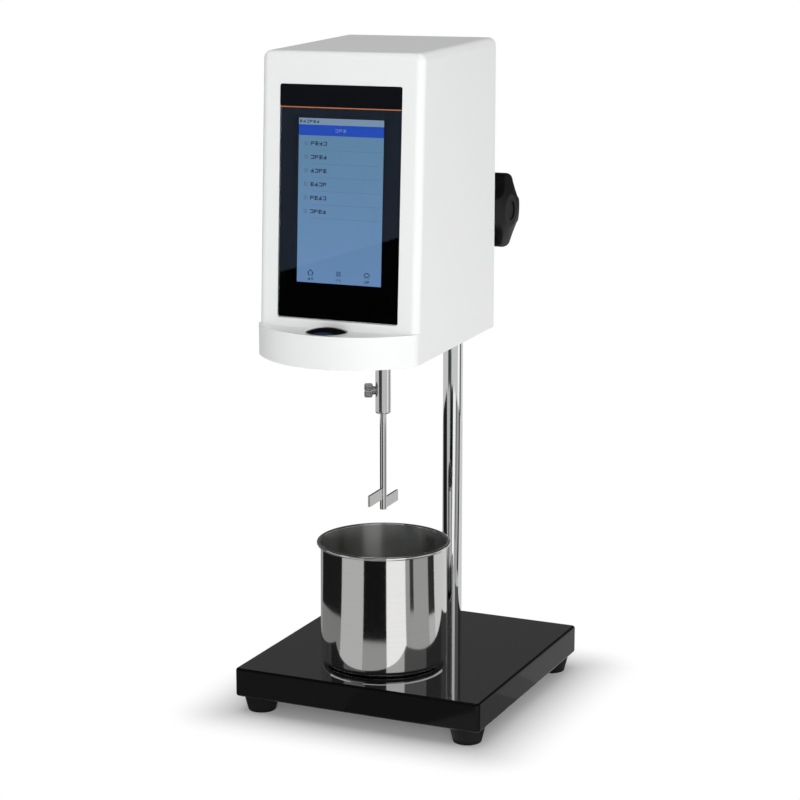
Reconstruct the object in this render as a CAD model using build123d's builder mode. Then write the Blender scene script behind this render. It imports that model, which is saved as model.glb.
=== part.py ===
from build123d import *
import os
from math import acos, cos, pi, radians, sin, sqrt, tan

# A rotational viscometer: a heavy plate on rubber feet, a chromed column at its back, and an
# instrument head that a rack and pinion lifts over the sample cup.
# The origin is the middle of the footprint, on the surface that the feet stand on.
# X runs to the operator's right, Y to the back and Z up. Lengths are in millimetres.

# Clearances
running_gap = 0.03
press_gap = 0.01
slip_gap = 0.3
free_gap = 1.0

# Proportions of the socket screws
screw_head_share = 1.8
screw_head_height_share = 0.8
socket_share = 0.42
socket_sides = 6

# Base plate and feet
plate_width = 190.0
plate_depth = 196.5
plate_thickness = 21.0
plate_corner_round = 3.0
plate_edge_round = 1.8
foot_height = 12.0
foot_top_diameter = 26.0
foot_bottom_diameter = 20.0
foot_inset = 14.5
foot_edge_round = 1.0
foot_screw_diameter = 5.0
foot_screw_head_diameter = 9.0
foot_screw_head_height = 3.0
foot_screw_recess = 5.0
foot_screw_grip = 10.0

# Column
column_diameter = 15.0
column_height = 434.0
column_to_plate_back = 19.5
column_seat_depth = 8.0
column_bolt_diameter = 8.0
column_bolt_head_diameter = 13.0
column_bolt_head_height = 5.0
column_bolt_grip = 20.0
column_bolt_recess = 7.0
washer_diameter = 17.0
washer_thickness = 1.6
column_cap_diameter = 21.0
column_cap_height = 6.0
cap_stem_diameter = 8.0
cap_stem_length = 10.0

# Rack and pinion
lift_module = 1.0
pressure_angle = 20.0
backlash = 0.24
tooth_tip_share = 0.9
tooth_root_share = 1.2
pinion_teeth = 16
pinion_length = 4.4
pinion_shaft_diameter = 8.0
rack_width = 5.0
rack_pitch_offset = 5.9
rack_back_thickness = 1.2
rack_end_land = 9.0
rack_spare_teeth = 3
rack_screw_diameter = 2.5
rack_screw_head_diameter = 4.2
rack_screw_head_height = 1.4
rack_screw_grip = 6.0
lift_down = 78.5
lift_up = 18.8

# Lifting knob
knob_diameter = 55.0
knob_length = 17.5
knob_lobes = 4
knob_turn = -5.0
knob_gap = 1.5
knob_scallop_radius = 14.0
knob_scallop_distance = 34.0
knob_edge_round = 2.5
knob_hub_diameter = 24.0
knob_hub_height = 4.0
knob_recess_diameter = 14.5
knob_recess_depth = 6.0
knob_cap_thickness = 1.6
knob_cap_depth = 1.0
knob_screw_diameter = 4.0
knob_screw_head_diameter = 7.0
knob_screw_head_height = 2.2
knob_screw_grip = 10.0
knob_socket_depth = 12.0

# Carriage on the column
carriage_width = 35.0
carriage_height = 71.0
carriage_front_reach = 17.0
carriage_back_wall = 3.6
carriage_bore_gap = 0.8
carriage_edge_round = 3.0
bush_diameter = 19.0
bush_length = 12.0
pinion_bush_diameter = 12.0
pinion_plug_diameter = 20.0
pinion_plug_length = 10.5
arm_width = 28.0
arm_height = 50.0
flange_width = 68.0
flange_height = 92.0
flange_thickness = 7.0
flange_bolt_spacing = 50.0
flange_bolt_rise = 70.0
flange_bolt_diameter = 5.0
flange_bolt_head_diameter = 8.5
flange_bolt_head_height = 5.0
brake_height = 17.0
brake_hole_diameter = 8.0
brake_pad_length = 2.5
disc_spring_count = 4
disc_spring_thickness = 0.35
disc_spring_bore = 4.2
brake_screw_length = 5.0

# Head
head_width = 118.0
head_height = 204.0
head_depth = 125.5
head_back_gap = 66.0
head_clearance = 243.0
top_slope = 2.5
bottom_slope = 2.15
face_lean = 3.04
head_edge_round = 5.5
shell_wall = 3.2
pinion_rise = 73.5
shelf_rise = 16.0
chin_bulge = 31.0
chin_end_round = 9.0
shelf_rim = 1.2
shelf_recess = 1.0

# Glass panel and display
glass_width = 88.9
glass_height = 156.2
glass_thickness = 1.6
glass_corner_round = 1.5
glass_rise = 99.0
display_width = 62.3
display_height = 109.6
display_rise = 1.6
display_frame = 4.0
display_thickness = 5.0

# Button on the chin's shelf
button_diameter = 27.2
button_edge_height = 0.3
button_dome_height = 2.4
button_skirt = 4.2
button_travel = 1.5
button_stem_diameter = 9.0
button_stem_length = 6.5
ring_diameter = 28.8
ring_wall = 0.65
ring_proud = 1.4
ring_depth = 8.0
ring_floor = 1.5
button_spring_wire = 0.6
button_spring_turns = 3
button_spring_diameter = 15.0
button_switch_width = 12.0
button_switch_height = 3.6
button_plunger_diameter = 3.4
button_plunger_height = 1.0
bracket_sheet = 1.5
bracket_width = 34.0
bracket_flange = 7.0
bracket_depth = 12.0
bracket_screw_diameter = 2.5
bracket_screw_length = 3.2

# Rear panel with its fittings
panel_thickness = 3.0
panel_screw_diameter = 3.0
panel_screw_head_diameter = 5.5
panel_screw_head_height = 1.8
panel_screw_length = 10.0
panel_screw_inset = 7.0
panel_boss_diameter = 8.0
panel_boss_length = 14.0
fittings_drop = 44.0
switch_width = 15.0
switch_height = 21.0
switch_rim = 1.8
switch_window_width = 9.0
switch_window_height = 16.6
switch_depth = 14.0
switch_spacing = 34.0
switch_wall = 1.0
switch_window_depth = 10.0
rocker_tilt = 9.0
rocker_radius = 7.9
rocker_crest = 1.8
rocker_valley = 0.4
rocker_floor = 5.0
rocker_width = 8.6
rocker_pivot_diameter = 2.4
rocker_pivot_reach = 0.7
socket_diameter = 11.0
socket_body_diameter = 9.6
socket_flange = 1.5
socket_bore = 6.4
socket_pin = 2.0
socket_depth = 12.0
data_port_width = 12.0
data_port_height = 11.0
data_port_depth = 14.0
data_port_rim = 1.0
data_port_mouth_width = 8.6
data_port_mouth_height = 7.8
data_port_mouth_depth = 10.0
data_port_tongue_width = 5.6
data_port_tongue_height = 3.2
vent_count = 5
vent_length = 34.0
vent_width = 2.2
vent_pitch = 4.2
vent_drop = 9.0
vent_spacing = 48.0

# Chassis, bearings, spindle and drive
chassis_width = 84.0
chassis_sheet = 4.0
chassis_top_drop = 62.0
chassis_bottom_drop = 40.0
deck_rise = 57.0
deck_reach = 92.0
gusset_height = 34.0
spindle_reach = 126.7
spindle_diameter = 8.0
bearing_diameter = 22.0
bearing_width = 7.0
bearing_ball_diameter = 3.97
bearing_ball_circle = 15.1
bearing_ball_count = 7
bearing_ring_drop = 1.2
bearing_groove_gap = 0.03
spacer_wall = 1.6
housing_wall = 3.0
housing_flange_width = 46.0
housing_flange_depth = 30.0
housing_flange_thickness = 5.0
housing_screw_spacing_x = 37.0
housing_screw_spacing_y = 18.0
housing_floor = 8.0
housing_bore_gap = 2.0
nose_diameter = 24.0
nose_proud = 2.0
housing_screw_diameter = 3.0
spindle_gear_teeth = 48
motor_gear_teeth = 16
drive_module = 1.0
drive_gear_width = 7.0
drive_gear_rise = 6.0
motor_width = 28.0
motor_length = 38.0
motor_shaft_diameter = 5.0
motor_hole_spacing = 23.0
motor_screw_diameter = 2.5
motor_corner = 2.5
motor_shaft_depth = 30.0
gear_hub_height = 4.0
spindle_gear_hub = 16.0
motor_gear_hub = 11.0
spindle_gear_holes = 6
spindle_gear_hole = 8.0
spindle_gear_hole_circle = 29.0
encoder_diameter = 40.0
encoder_thickness = 1.0
encoder_rise = 22.0
encoder_hub = 14.0
encoder_hub_height = 4.0
encoder_slots = 36
encoder_slot_circle = 35.0
sensor_width = 10.0
sensor_reach = 12.0
sensor_overlap = 5.0
sensor_height = 11.0
sensor_slot = 3.5
sensor_post = 5.0
encoder_slot_width = 1.2
encoder_slot_length = 4.0
spindle_top_rise = 30.0

# Collar, thumbscrew and rotor
collar_diameter = 11.0
collar_drop = 56.4
collar_length = 43.0
collar_edge_round = 1.2
rotor_socket_depth = 27.0
thumbscrew_rise = 16.3
thumbscrew_azimuth = 205.0
thumbscrew_diameter = 4.0
thumbscrew_neck_diameter = 6.0
thumbscrew_neck_length = 1.9
thumbscrew_head_diameter = 10.1
thumbscrew_head_length = 5.8
thumbscrew_ribs = 20
thumbscrew_rib_depth = 0.35
rotor_diameter = 4.76
rotor_drop = 126.3
rotor_top_gap = 2.0
blade_span = 54.0
blade_height = 7.9
blade_thickness = 1.6
blade_azimuth = 93.0
set_screw_diameter = 3.0
set_screw_length = 2.4

# Sample cup
cup_diameter = 91.6
cup_wall = 0.9
cup_height = 90.0
cup_rim_bead = 2.9
cup_corner_round = 5.0
cup_offset_x = -6.0
cup_offset_y = 13.5

# Electronics
board_thickness = 1.6
board_width = 96.0
board_height = 104.0
board_gap = 14.0
board_deck_gap = 5.0
standoff_diameter = 5.5
standoff_inset = 5.0
board_screw_diameter = 3.0
module_width = 62.0
module_height = 40.0
module_depth = 24.0
module_drop = 66.0
connector_width = 22.0
connector_height = 8.0
connector_depth = 6.0
connector_pitch = 34.0
chip_width = 14.0
chip_depth = 1.4

# Places that follow from the sizes
pinion_radius = lift_module * pinion_teeth / 2
shelf_z = foot_height + plate_thickness + head_clearance + shelf_rise
plate_top = foot_height + plate_thickness
head_bottom_z = plate_top + head_clearance
head_top_z = head_bottom_z + head_height
face_slope = tan(radians(face_lean))
pinion_offset = rack_pitch_offset + pinion_radius
rear_reach = pinion_offset + knob_diameter / 2
face_rise = head_top_z - head_depth * tan(radians(top_slope)) - shelf_z
front_reach = head_back_gap + head_depth + face_rise * face_slope + chin_bulge
column_y = (front_reach - rear_reach) / 2
plate_y = column_y + column_to_plate_back - plate_depth / 2
head_back_y = column_y - head_back_gap
head_front_y = head_back_y - head_depth
face_top_z = head_top_z - head_depth * tan(radians(top_slope))
chin_root_y = head_front_y - face_rise * face_slope
chin_front_y = chin_root_y - chin_bulge
chin_radius = ((head_width / 2) ** 2 + chin_bulge ** 2) / (2 * chin_bulge)
chin_centre_y = chin_front_y + chin_radius
pinion_y = column_y + pinion_offset
pinion_z = head_bottom_z + pinion_rise
spindle_y = column_y - spindle_reach
button_y = chin_root_y - ring_diameter / 2 - slip_gap
shelf_floor_z = shelf_z - shelf_recess
shelf_underside_z = shelf_z - shell_wall
bracket_side = bracket_width / 2
bracket_screw_x = bracket_side + bracket_flange / 2
deck_z = head_bottom_z + deck_rise
panel_inner_y = head_back_y - panel_thickness
foot_spacing_x = plate_width - 2 * foot_inset
foot_spacing_y = plate_depth - 2 * foot_inset


def bottom_height(y):
    """Height of the head's underside, which falls towards the front."""
    return head_bottom_z - (head_back_y - y) * tan(radians(bottom_slope))


def top_height(y):
    """Height of the head's top, which falls towards the front."""
    return head_top_z - (head_back_y - y) * tan(radians(top_slope))


def face_place(z):
    """Depth of the leaning front face at a height."""
    return head_front_y - (face_top_z - z) * face_slope


def head_form(inset, rounding):
    """The head's form, drawn in by an inset on every side but its back."""
    half_width = head_width / 2 - inset
    setback = inset / cos(radians(face_lean))
    upper_z = top_height(head_front_y) - inset
    lower_z = bottom_height(face_place(bottom_height(head_front_y))) + inset
    root_y = chin_centre_y - sqrt((chin_radius - inset) ** 2 - half_width ** 2)
    low_z = bottom_height(chin_front_y) - shell_wall
    with BuildPart() as form:
        with BuildSketch(Plane.YZ):
            with BuildLine():
                Polyline(
                    (head_back_y, bottom_height(head_back_y) + inset),
                    (head_back_y, top_height(head_back_y) - inset),
                    (face_place(upper_z) + setback, upper_z),
                    (face_place(lower_z) + setback, lower_z),
                    close=True,
                )
            make_face()
        extrude(amount=half_width, both=True)
        if rounding:
            top_edges = form.faces().sort_by(Axis.Z)[-1].edges()
            front_edges = form.faces().filter_by(Axis.X, reverse=True).sort_by(Axis.Y)[0].edges()
            rounded = (top_edges + front_edges).filter_by(lambda edge: edge.center().Y < head_back_y - 1)
            fillet(rounded.filter_by(lambda edge: edge.center().Z > shelf_z), rounding)
        with BuildSketch(Plane.XY.offset(low_z)):
            with BuildLine():
                ThreePointArc((-half_width, root_y), (0, chin_front_y + inset), (half_width, root_y))
                Polyline(
                    (half_width, root_y),
                    (half_width, root_y + head_depth / 4),
                    (-half_width, root_y + head_depth / 4),
                    (-half_width, root_y),
                )
            chin = make_face()
            if rounding:
                fillet(chin.vertices().group_by(Axis.Y)[0], chin_end_round)
        extrude(amount=shelf_z - inset - low_z)
        with BuildSketch(Plane.YZ):
            with BuildLine():
                Polyline(
                    (head_back_y, bottom_height(head_back_y) + inset),
                    (chin_front_y - shell_wall, bottom_height(chin_front_y - shell_wall) + inset),
                    (chin_front_y - shell_wall, low_z - shell_wall),
                    (head_back_y, low_z - shell_wall),
                    close=True,
                )
            make_face()
        extrude(amount=head_width, both=True, mode=Mode.SUBTRACT)
    return form.part


def gear_points(teeth, module, first_tooth):
    """Points round a spur gear with involute flanks, its first tooth at an angle in degrees."""
    pitch = module * teeth / 2
    base = pitch * cos(radians(pressure_angle))
    tip = pitch + module * tooth_tip_share
    root = pitch - module * tooth_root_share
    start = max(base, root)
    half_at_pitch = (pi / 2 - backlash / 2 / module) / teeth
    flank = [start, (start + pitch) / 2, pitch, (pitch + tip) / 2, tip]
    radii = flank if root >= base else [root] + flank

    def half_angle(radius):
        lean = acos(min(1, base / radius))
        pitch_lean = acos(base / pitch)
        return half_at_pitch + (tan(pitch_lean) - pitch_lean) - (tan(lean) - lean)

    points = []
    for tooth in range(teeth):
        middle = radians(first_tooth) + 2 * pi * tooth / teeth
        sides = [(radius, -half_angle(max(radius, start))) for radius in radii]
        sides += [(radius, half_angle(max(radius, start))) for radius in reversed(radii)]
        points += [(radius * cos(middle + turn), radius * sin(middle + turn)) for radius, turn in sides]
    return points


def socket_screws(seat, places, diameter, length, head_diameter, head_height):
    """Socket screws whose heads stand on the seat plane and whose shanks run down from it."""
    socket_radius = diameter * socket_share
    with BuildPart() as screws:
        with BuildSketch(seat):
            with Locations(*places):
                Circle(head_diameter / 2)
        extrude(amount=head_height)
        with BuildSketch(seat):
            with Locations(*places):
                Circle(diameter / 2 - press_gap)
        extrude(amount=-length)
        with BuildSketch(seat.offset(head_height)):
            with Locations(*places):
                RegularPolygon(socket_radius, socket_sides)
        extrude(amount=-head_height / 2, mode=Mode.SUBTRACT)
    return screws


def corners(width, depth):
    """The four corners of a rectangle about its middle."""
    return [(x * width / 2, y * depth / 2) for x in (-1, 1) for y in (-1, 1)]


def upright(z, y):
    """A level plane at a height, its origin on the object's middle line."""
    return Plane.XY.offset(z).shift_origin((0, y, z))


# Base plate, bored from above for the column and from below for its bolt and the feet's screws
with BuildPart() as base_plate:
    with BuildSketch(upright(foot_height, plate_y)):
        RectangleRounded(plate_width, plate_depth, plate_corner_round)
    extrude(amount=plate_thickness)
    fillet(base_plate.faces().sort_by(Axis.Z)[-1].edges(), plate_edge_round)
    fillet(base_plate.faces().sort_by(Axis.Z)[0].edges(), plate_edge_round)
    with BuildSketch(upright(plate_top, column_y)):
        Circle(column_diameter / 2 + running_gap)
    extrude(amount=-column_seat_depth, mode=Mode.SUBTRACT)
    with BuildSketch(upright(foot_height, column_y)):
        Circle(column_bolt_diameter / 2 + slip_gap)
    extrude(amount=plate_thickness, mode=Mode.SUBTRACT)
    with BuildSketch(upright(foot_height, column_y)):
        Circle(washer_diameter / 2 + slip_gap)
    extrude(amount=column_bolt_recess, mode=Mode.SUBTRACT)
    with BuildSketch(upright(foot_height, plate_y)):
        with GridLocations(foot_spacing_x, foot_spacing_y, 2, 2):
            Circle(foot_screw_diameter / 2)
    extrude(amount=foot_screw_grip, mode=Mode.SUBTRACT)

# Four tapered rubber feet, each held by a screw from below
with BuildPart() as feet:
    with Locations((0, plate_y, 0)):
        with GridLocations(foot_spacing_x, foot_spacing_y, 2, 2):
            Cone(
                foot_bottom_diameter / 2,
                foot_top_diameter / 2,
                foot_height,
                align=(Align.CENTER, Align.CENTER, Align.MIN),
            )
    fillet(feet.edges().group_by(Axis.Z)[0], foot_edge_round)
    with BuildSketch(upright(0, plate_y)):
        with GridLocations(foot_spacing_x, foot_spacing_y, 2, 2):
            Circle(foot_screw_diameter / 2 + press_gap)
    extrude(amount=foot_height, mode=Mode.SUBTRACT)
    with BuildSketch(upright(0, plate_y)):
        with GridLocations(foot_spacing_x, foot_spacing_y, 2, 2):
            Circle(foot_screw_head_diameter / 2 + slip_gap)
    extrude(amount=foot_screw_recess, mode=Mode.SUBTRACT)

foot_screws = socket_screws(
    Plane(origin=(0, plate_y, foot_screw_recess), x_dir=(1, 0, 0), z_dir=(0, 0, -1)),
    corners(foot_spacing_x, foot_spacing_y),
    foot_screw_diameter,
    foot_height - foot_screw_recess + foot_screw_grip,
    foot_screw_head_diameter,
    foot_screw_head_height,
)

# Rack places: the rack runs a few teeth past the pinion's travel, with a plain land at each end
rack_pitch = pi * lift_module
rack_pitch_y = column_y + rack_pitch_offset
rack_bed_y = rack_pitch_y - lift_module * tooth_root_share - rack_back_thickness
rack_tip_y = rack_pitch_y + lift_module * tooth_tip_share
teeth_below = round(lift_down / rack_pitch) + rack_spare_teeth
teeth_above = round(lift_up / rack_pitch) + rack_spare_teeth
rack_low_z = pinion_z - teeth_below * rack_pitch - rack_end_land
rack_high_z = pinion_z + teeth_above * rack_pitch + rack_end_land
rack_screw_heights = [rack_low_z + rack_end_land / 2, rack_high_z - rack_end_land / 2]
rack_back = Plane(origin=(0, rack_tip_y, 0), x_dir=(-1, 0, 0), z_dir=(0, 1, 0))
rack_screw_places = [(0, z) for z in rack_screw_heights]

# Column: a plain round bar, slotted at the back for the rack
with BuildPart() as column:
    with BuildSketch(upright(plate_top - column_seat_depth, column_y)):
        Circle(column_diameter / 2)
    extrude(amount=column_seat_depth + column_height)
    with BuildSketch(upright(rack_low_z - press_gap, rack_bed_y)):
        Rectangle(rack_width + 2 * press_gap, column_diameter, align=(Align.CENTER, Align.MIN))
    extrude(amount=rack_high_z - rack_low_z + 2 * press_gap, mode=Mode.SUBTRACT)
    with BuildSketch(rack_back):
        with Locations(*rack_screw_places):
            Circle(rack_screw_diameter / 2)
    extrude(amount=rack_bed_y - rack_tip_y - rack_screw_grip, mode=Mode.SUBTRACT)
    with BuildSketch(upright(plate_top - column_seat_depth, column_y)):
        Circle(column_bolt_diameter / 2)
    extrude(amount=column_bolt_grip + free_gap, mode=Mode.SUBTRACT)
    with BuildSketch(upright(plate_top + column_height, column_y)):
        Circle(cap_stem_diameter / 2)
    extrude(amount=-cap_stem_length - free_gap, mode=Mode.SUBTRACT)

with BuildPart() as column_cap:
    with BuildSketch(upright(plate_top + column_height, column_y)):
        Circle(column_cap_diameter / 2)
    extrude(amount=column_cap_height)
    fillet(column_cap.edges().group_by(Axis.Z)[-1], column_cap_height / 3)
    with BuildSketch(upright(plate_top + column_height, column_y)):
        Circle(cap_stem_diameter / 2 - press_gap)
    extrude(amount=-cap_stem_length)

bolt_seat_z = foot_height + column_bolt_recess - washer_thickness
with BuildPart() as column_washer:
    with BuildSketch(upright(bolt_seat_z, column_y)):
        Circle(washer_diameter / 2)
        Circle(column_bolt_diameter / 2 + slip_gap, mode=Mode.SUBTRACT)
    extrude(amount=washer_thickness)

column_bolt = socket_screws(
    Plane(origin=(0, column_y, bolt_seat_z), x_dir=(1, 0, 0), z_dir=(0, 0, -1)),
    [(0, 0)],
    column_bolt_diameter,
    plate_top - column_seat_depth - bolt_seat_z + column_bolt_grip,
    column_bolt_head_diameter,
    column_bolt_head_height,
)

# Rack: straight-sided teeth, with a gap opposite the pinion's axis
half_tooth = rack_pitch / 4 - backlash / 4
flank_slope = tan(radians(pressure_angle))
half_tip = half_tooth - lift_module * tooth_tip_share * flank_slope
half_root = half_tooth + lift_module * tooth_root_share * flank_slope
rack_root_y = rack_pitch_y - lift_module * tooth_root_share
rack_points = [(rack_bed_y, rack_low_z), (rack_tip_y, rack_low_z)]
rack_points += [(rack_tip_y, rack_low_z + rack_end_land), (rack_root_y, rack_low_z + rack_end_land)]
for tooth in range(-teeth_below, teeth_above):
    middle_z = pinion_z + (tooth + 0.5) * rack_pitch
    rack_points.append((rack_root_y, middle_z - half_root))
    rack_points.append((rack_tip_y, middle_z - half_tip))
    rack_points.append((rack_tip_y, middle_z + half_tip))
    rack_points.append((rack_root_y, middle_z + half_root))
rack_points += [(rack_root_y, rack_high_z - rack_end_land), (rack_tip_y, rack_high_z - rack_end_land)]
rack_points += [(rack_tip_y, rack_high_z), (rack_bed_y, rack_high_z)]
with BuildPart() as rack:
    with BuildSketch(Plane.YZ):
        with BuildLine():
            Polyline(*rack_points, close=True)
        make_face()
    extrude(amount=rack_width / 2, both=True)
    with BuildSketch(rack_back):
        with Locations(*rack_screw_places):
            Circle(rack_screw_diameter / 2 + press_gap)
    extrude(amount=rack_bed_y - rack_tip_y, mode=Mode.SUBTRACT)
    with BuildSketch(rack_back):
        with Locations(*rack_screw_places):
            Circle(rack_screw_head_diameter / 2 + press_gap)
    extrude(amount=-rack_screw_head_height, mode=Mode.SUBTRACT)

rack_screws = socket_screws(
    rack_back.offset(-rack_screw_head_height),
    rack_screw_places,
    rack_screw_diameter,
    rack_tip_y - rack_screw_head_height - rack_bed_y + rack_screw_grip - free_gap,
    rack_screw_head_diameter,
    rack_screw_head_height,
)

# Sample cup: thin spun steel with a rolled rim, standing on the plate
cup_radius = cup_diameter / 2
cup_y = spindle_y + cup_offset_y
cup_section = Plane(origin=(cup_offset_x, cup_y, plate_top), x_dir=(1, 0, 0), z_dir=(0, -1, 0))
with BuildPart() as sample_cup:
    with BuildSketch(cup_section):
        corner = (cup_radius - cup_corner_round, cup_corner_round)
        with BuildLine():
            Polyline((corner[0], cup_wall), (0, cup_wall), (0, 0), (corner[0], 0))
            CenterArc(corner, cup_corner_round, -90, 90)
            Polyline(
                (cup_radius, corner[1]),
                (cup_radius, cup_height),
                (cup_radius - cup_wall, cup_height),
                (cup_radius - cup_wall, corner[1]),
            )
            CenterArc(corner, cup_corner_round - cup_wall, 0, -90)
        make_face()
        with Locations((cup_radius + cup_rim_bead / 2 - cup_wall / 2, cup_height - cup_rim_bead / 2)):
            Circle(cup_rim_bead / 2)
    revolve(axis=Axis((cup_offset_x, cup_y, 0), (0, 0, 1)))


def facing_right(x, y, z):
    """A plane across X at a place, its axes along Y and Z."""
    return Plane(origin=(x, y, z), x_dir=(0, 1, 0), z_dir=(1, 0, 0))


# Carriage: a cast block on the column with an arm and a flange that carries the head
side_x = carriage_width / 2
plug_radius = pinion_plug_diameter / 2
carriage_low_z = pinion_z - carriage_height / 2
carriage_back_y = pinion_y + plug_radius + carriage_back_wall
carriage_front_y = column_y - carriage_front_reach
carriage_high_z = pinion_z + carriage_height / 2
bush_planes = [upright(carriage_low_z, column_y), upright(carriage_high_z - bush_length, column_y)]
flange_y = head_back_y + flange_thickness
flange_face = Plane(origin=(0, flange_y, pinion_z), x_dir=(-1, 0, 0), z_dir=(0, 1, 0))
with BuildPart() as carriage:
    with BuildSketch(upright(carriage_low_z, carriage_front_y)):
        Rectangle(carriage_width, carriage_back_y - carriage_front_y, align=(Align.CENTER, Align.MIN))
    extrude(amount=carriage_height)
    fillet(carriage.edges().filter_by(Axis.Z), carriage_edge_round)
    fillet(carriage.edges().filter_by(Axis.Z, reverse=True), carriage_edge_round / 2)
    with BuildSketch(flange_face):
        RectangleRounded(arm_width, arm_height, carriage_edge_round)
    extrude(amount=carriage_front_y - flange_y + carriage_edge_round * 2)
    with BuildSketch(flange_face):
        RectangleRounded(flange_width, flange_height, carriage_edge_round * 2)
    extrude(amount=-flange_thickness)
    with BuildSketch(upright(carriage_low_z, column_y)):
        Circle(column_diameter / 2 + carriage_bore_gap)
    extrude(amount=carriage_height, mode=Mode.SUBTRACT)
    with BuildSketch(*bush_planes):
        Circle(bush_diameter / 2)
    extrude(amount=bush_length, mode=Mode.SUBTRACT)
    with BuildSketch(facing_right(side_x, pinion_y, pinion_z)):
        Circle(plug_radius)
    extrude(amount=-side_x - pinion_length / 2 - free_gap, mode=Mode.SUBTRACT)
    with BuildSketch(facing_right(-side_x, pinion_y, pinion_z)):
        Circle(pinion_bush_diameter / 2)
    extrude(amount=side_x, mode=Mode.SUBTRACT)
    with BuildSketch(facing_right(-side_x, column_y, pinion_z + brake_height)):
        Circle(brake_hole_diameter / 2)
    extrude(amount=side_x - column_diameter / 4, mode=Mode.SUBTRACT)
    with BuildSketch(flange_face):
        with Locations(*corners(flange_bolt_spacing, flange_bolt_rise)):
            Circle(flange_bolt_diameter / 2 + slip_gap)
    extrude(amount=-flange_thickness, mode=Mode.SUBTRACT)

with BuildPart() as guide_bushes:
    with BuildSketch(*bush_planes):
        Circle(bush_diameter / 2 - press_gap)
        Circle(column_diameter / 2 + running_gap, mode=Mode.SUBTRACT)
    extrude(amount=bush_length)

pinion_bush_length = side_x - pinion_length / 2 - free_gap
with BuildPart() as pinion_bushes:
    with BuildSketch(facing_right(side_x, pinion_y, pinion_z)):
        Circle(plug_radius - press_gap)
        Circle(pinion_shaft_diameter / 2 + running_gap, mode=Mode.SUBTRACT)
    extrude(amount=-pinion_plug_length)
    with BuildSketch(facing_right(-side_x, pinion_y, pinion_z)):
        Circle(pinion_bush_diameter / 2 - press_gap)
        Circle(pinion_shaft_diameter / 2 + running_gap, mode=Mode.SUBTRACT)
    extrude(amount=pinion_bush_length)

# Brake: a pad, disc springs and a set screw in one hole, which hold the head where it is left
brake_face_x = -column_diameter / 2 - running_gap
brake_spring_x = brake_face_x - brake_pad_length
brake_spring_room = side_x - brake_screw_length + brake_spring_x
disc_spring_pitch = brake_spring_room / disc_spring_count
disc_spring_rise = disc_spring_pitch - disc_spring_thickness
brake_axis_z = pinion_z + brake_height
brake_radius = brake_hole_diameter / 2 - press_gap
with BuildPart() as brake_pad:
    with BuildSketch(facing_right(brake_face_x, column_y, brake_axis_z)):
        Circle(brake_radius)
    extrude(amount=-brake_pad_length)

disc_spring_start = (brake_spring_x, column_y, brake_axis_z)
disc_spring_section = Plane(origin=disc_spring_start, x_dir=(-1, 0, 0), z_dir=(0, 1, 0))
with BuildPart() as brake_springs:
    with BuildSketch(disc_spring_section):
        for disc in range(disc_spring_count):
            near = disc * disc_spring_pitch
            inner, outer = (0, disc_spring_rise) if disc % 2 else (disc_spring_rise, 0)
            with BuildLine():
                Polyline(
                    (near + inner, disc_spring_bore / 2),
                    (near + outer, brake_radius),
                    (near + outer + disc_spring_thickness, brake_radius),
                    (near + inner + disc_spring_thickness, disc_spring_bore / 2),
                    close=True,
                )
            make_face()
    revolve(axis=Axis((0, column_y, brake_axis_z), (1, 0, 0)))

with BuildPart() as brake_screw:
    with BuildSketch(facing_right(-side_x, column_y, brake_axis_z)):
        Circle(brake_radius)
    extrude(amount=brake_screw_length)
    with BuildSketch(facing_right(-side_x, column_y, brake_axis_z)):
        RegularPolygon(brake_radius / 2, socket_sides)
    extrude(amount=brake_screw_length / 2, mode=Mode.SUBTRACT)

# Pinion and its shaft in one piece, a tooth pointing at the rack
knob_inner_x = side_x + knob_gap
knob_outer_x = knob_inner_x + knob_length
pinion_shaft_reach = knob_inner_x + knob_socket_depth
with BuildPart() as pinion_shaft:
    with BuildSketch(facing_right(-pinion_length / 2, pinion_y, pinion_z)):
        with BuildLine():
            Polyline(*gear_points(pinion_teeth, lift_module, 180), close=True)
        make_face()
    extrude(amount=pinion_length)
    with BuildSketch(facing_right(free_gap - side_x, pinion_y, pinion_z)):
        Circle(pinion_shaft_diameter / 2)
    extrude(amount=side_x - free_gap + pinion_shaft_reach)
    with BuildSketch(facing_right(pinion_shaft_reach, pinion_y, pinion_z)):
        Circle(knob_screw_diameter / 2)
    extrude(amount=-knob_screw_grip - free_gap, mode=Mode.SUBTRACT)

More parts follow.
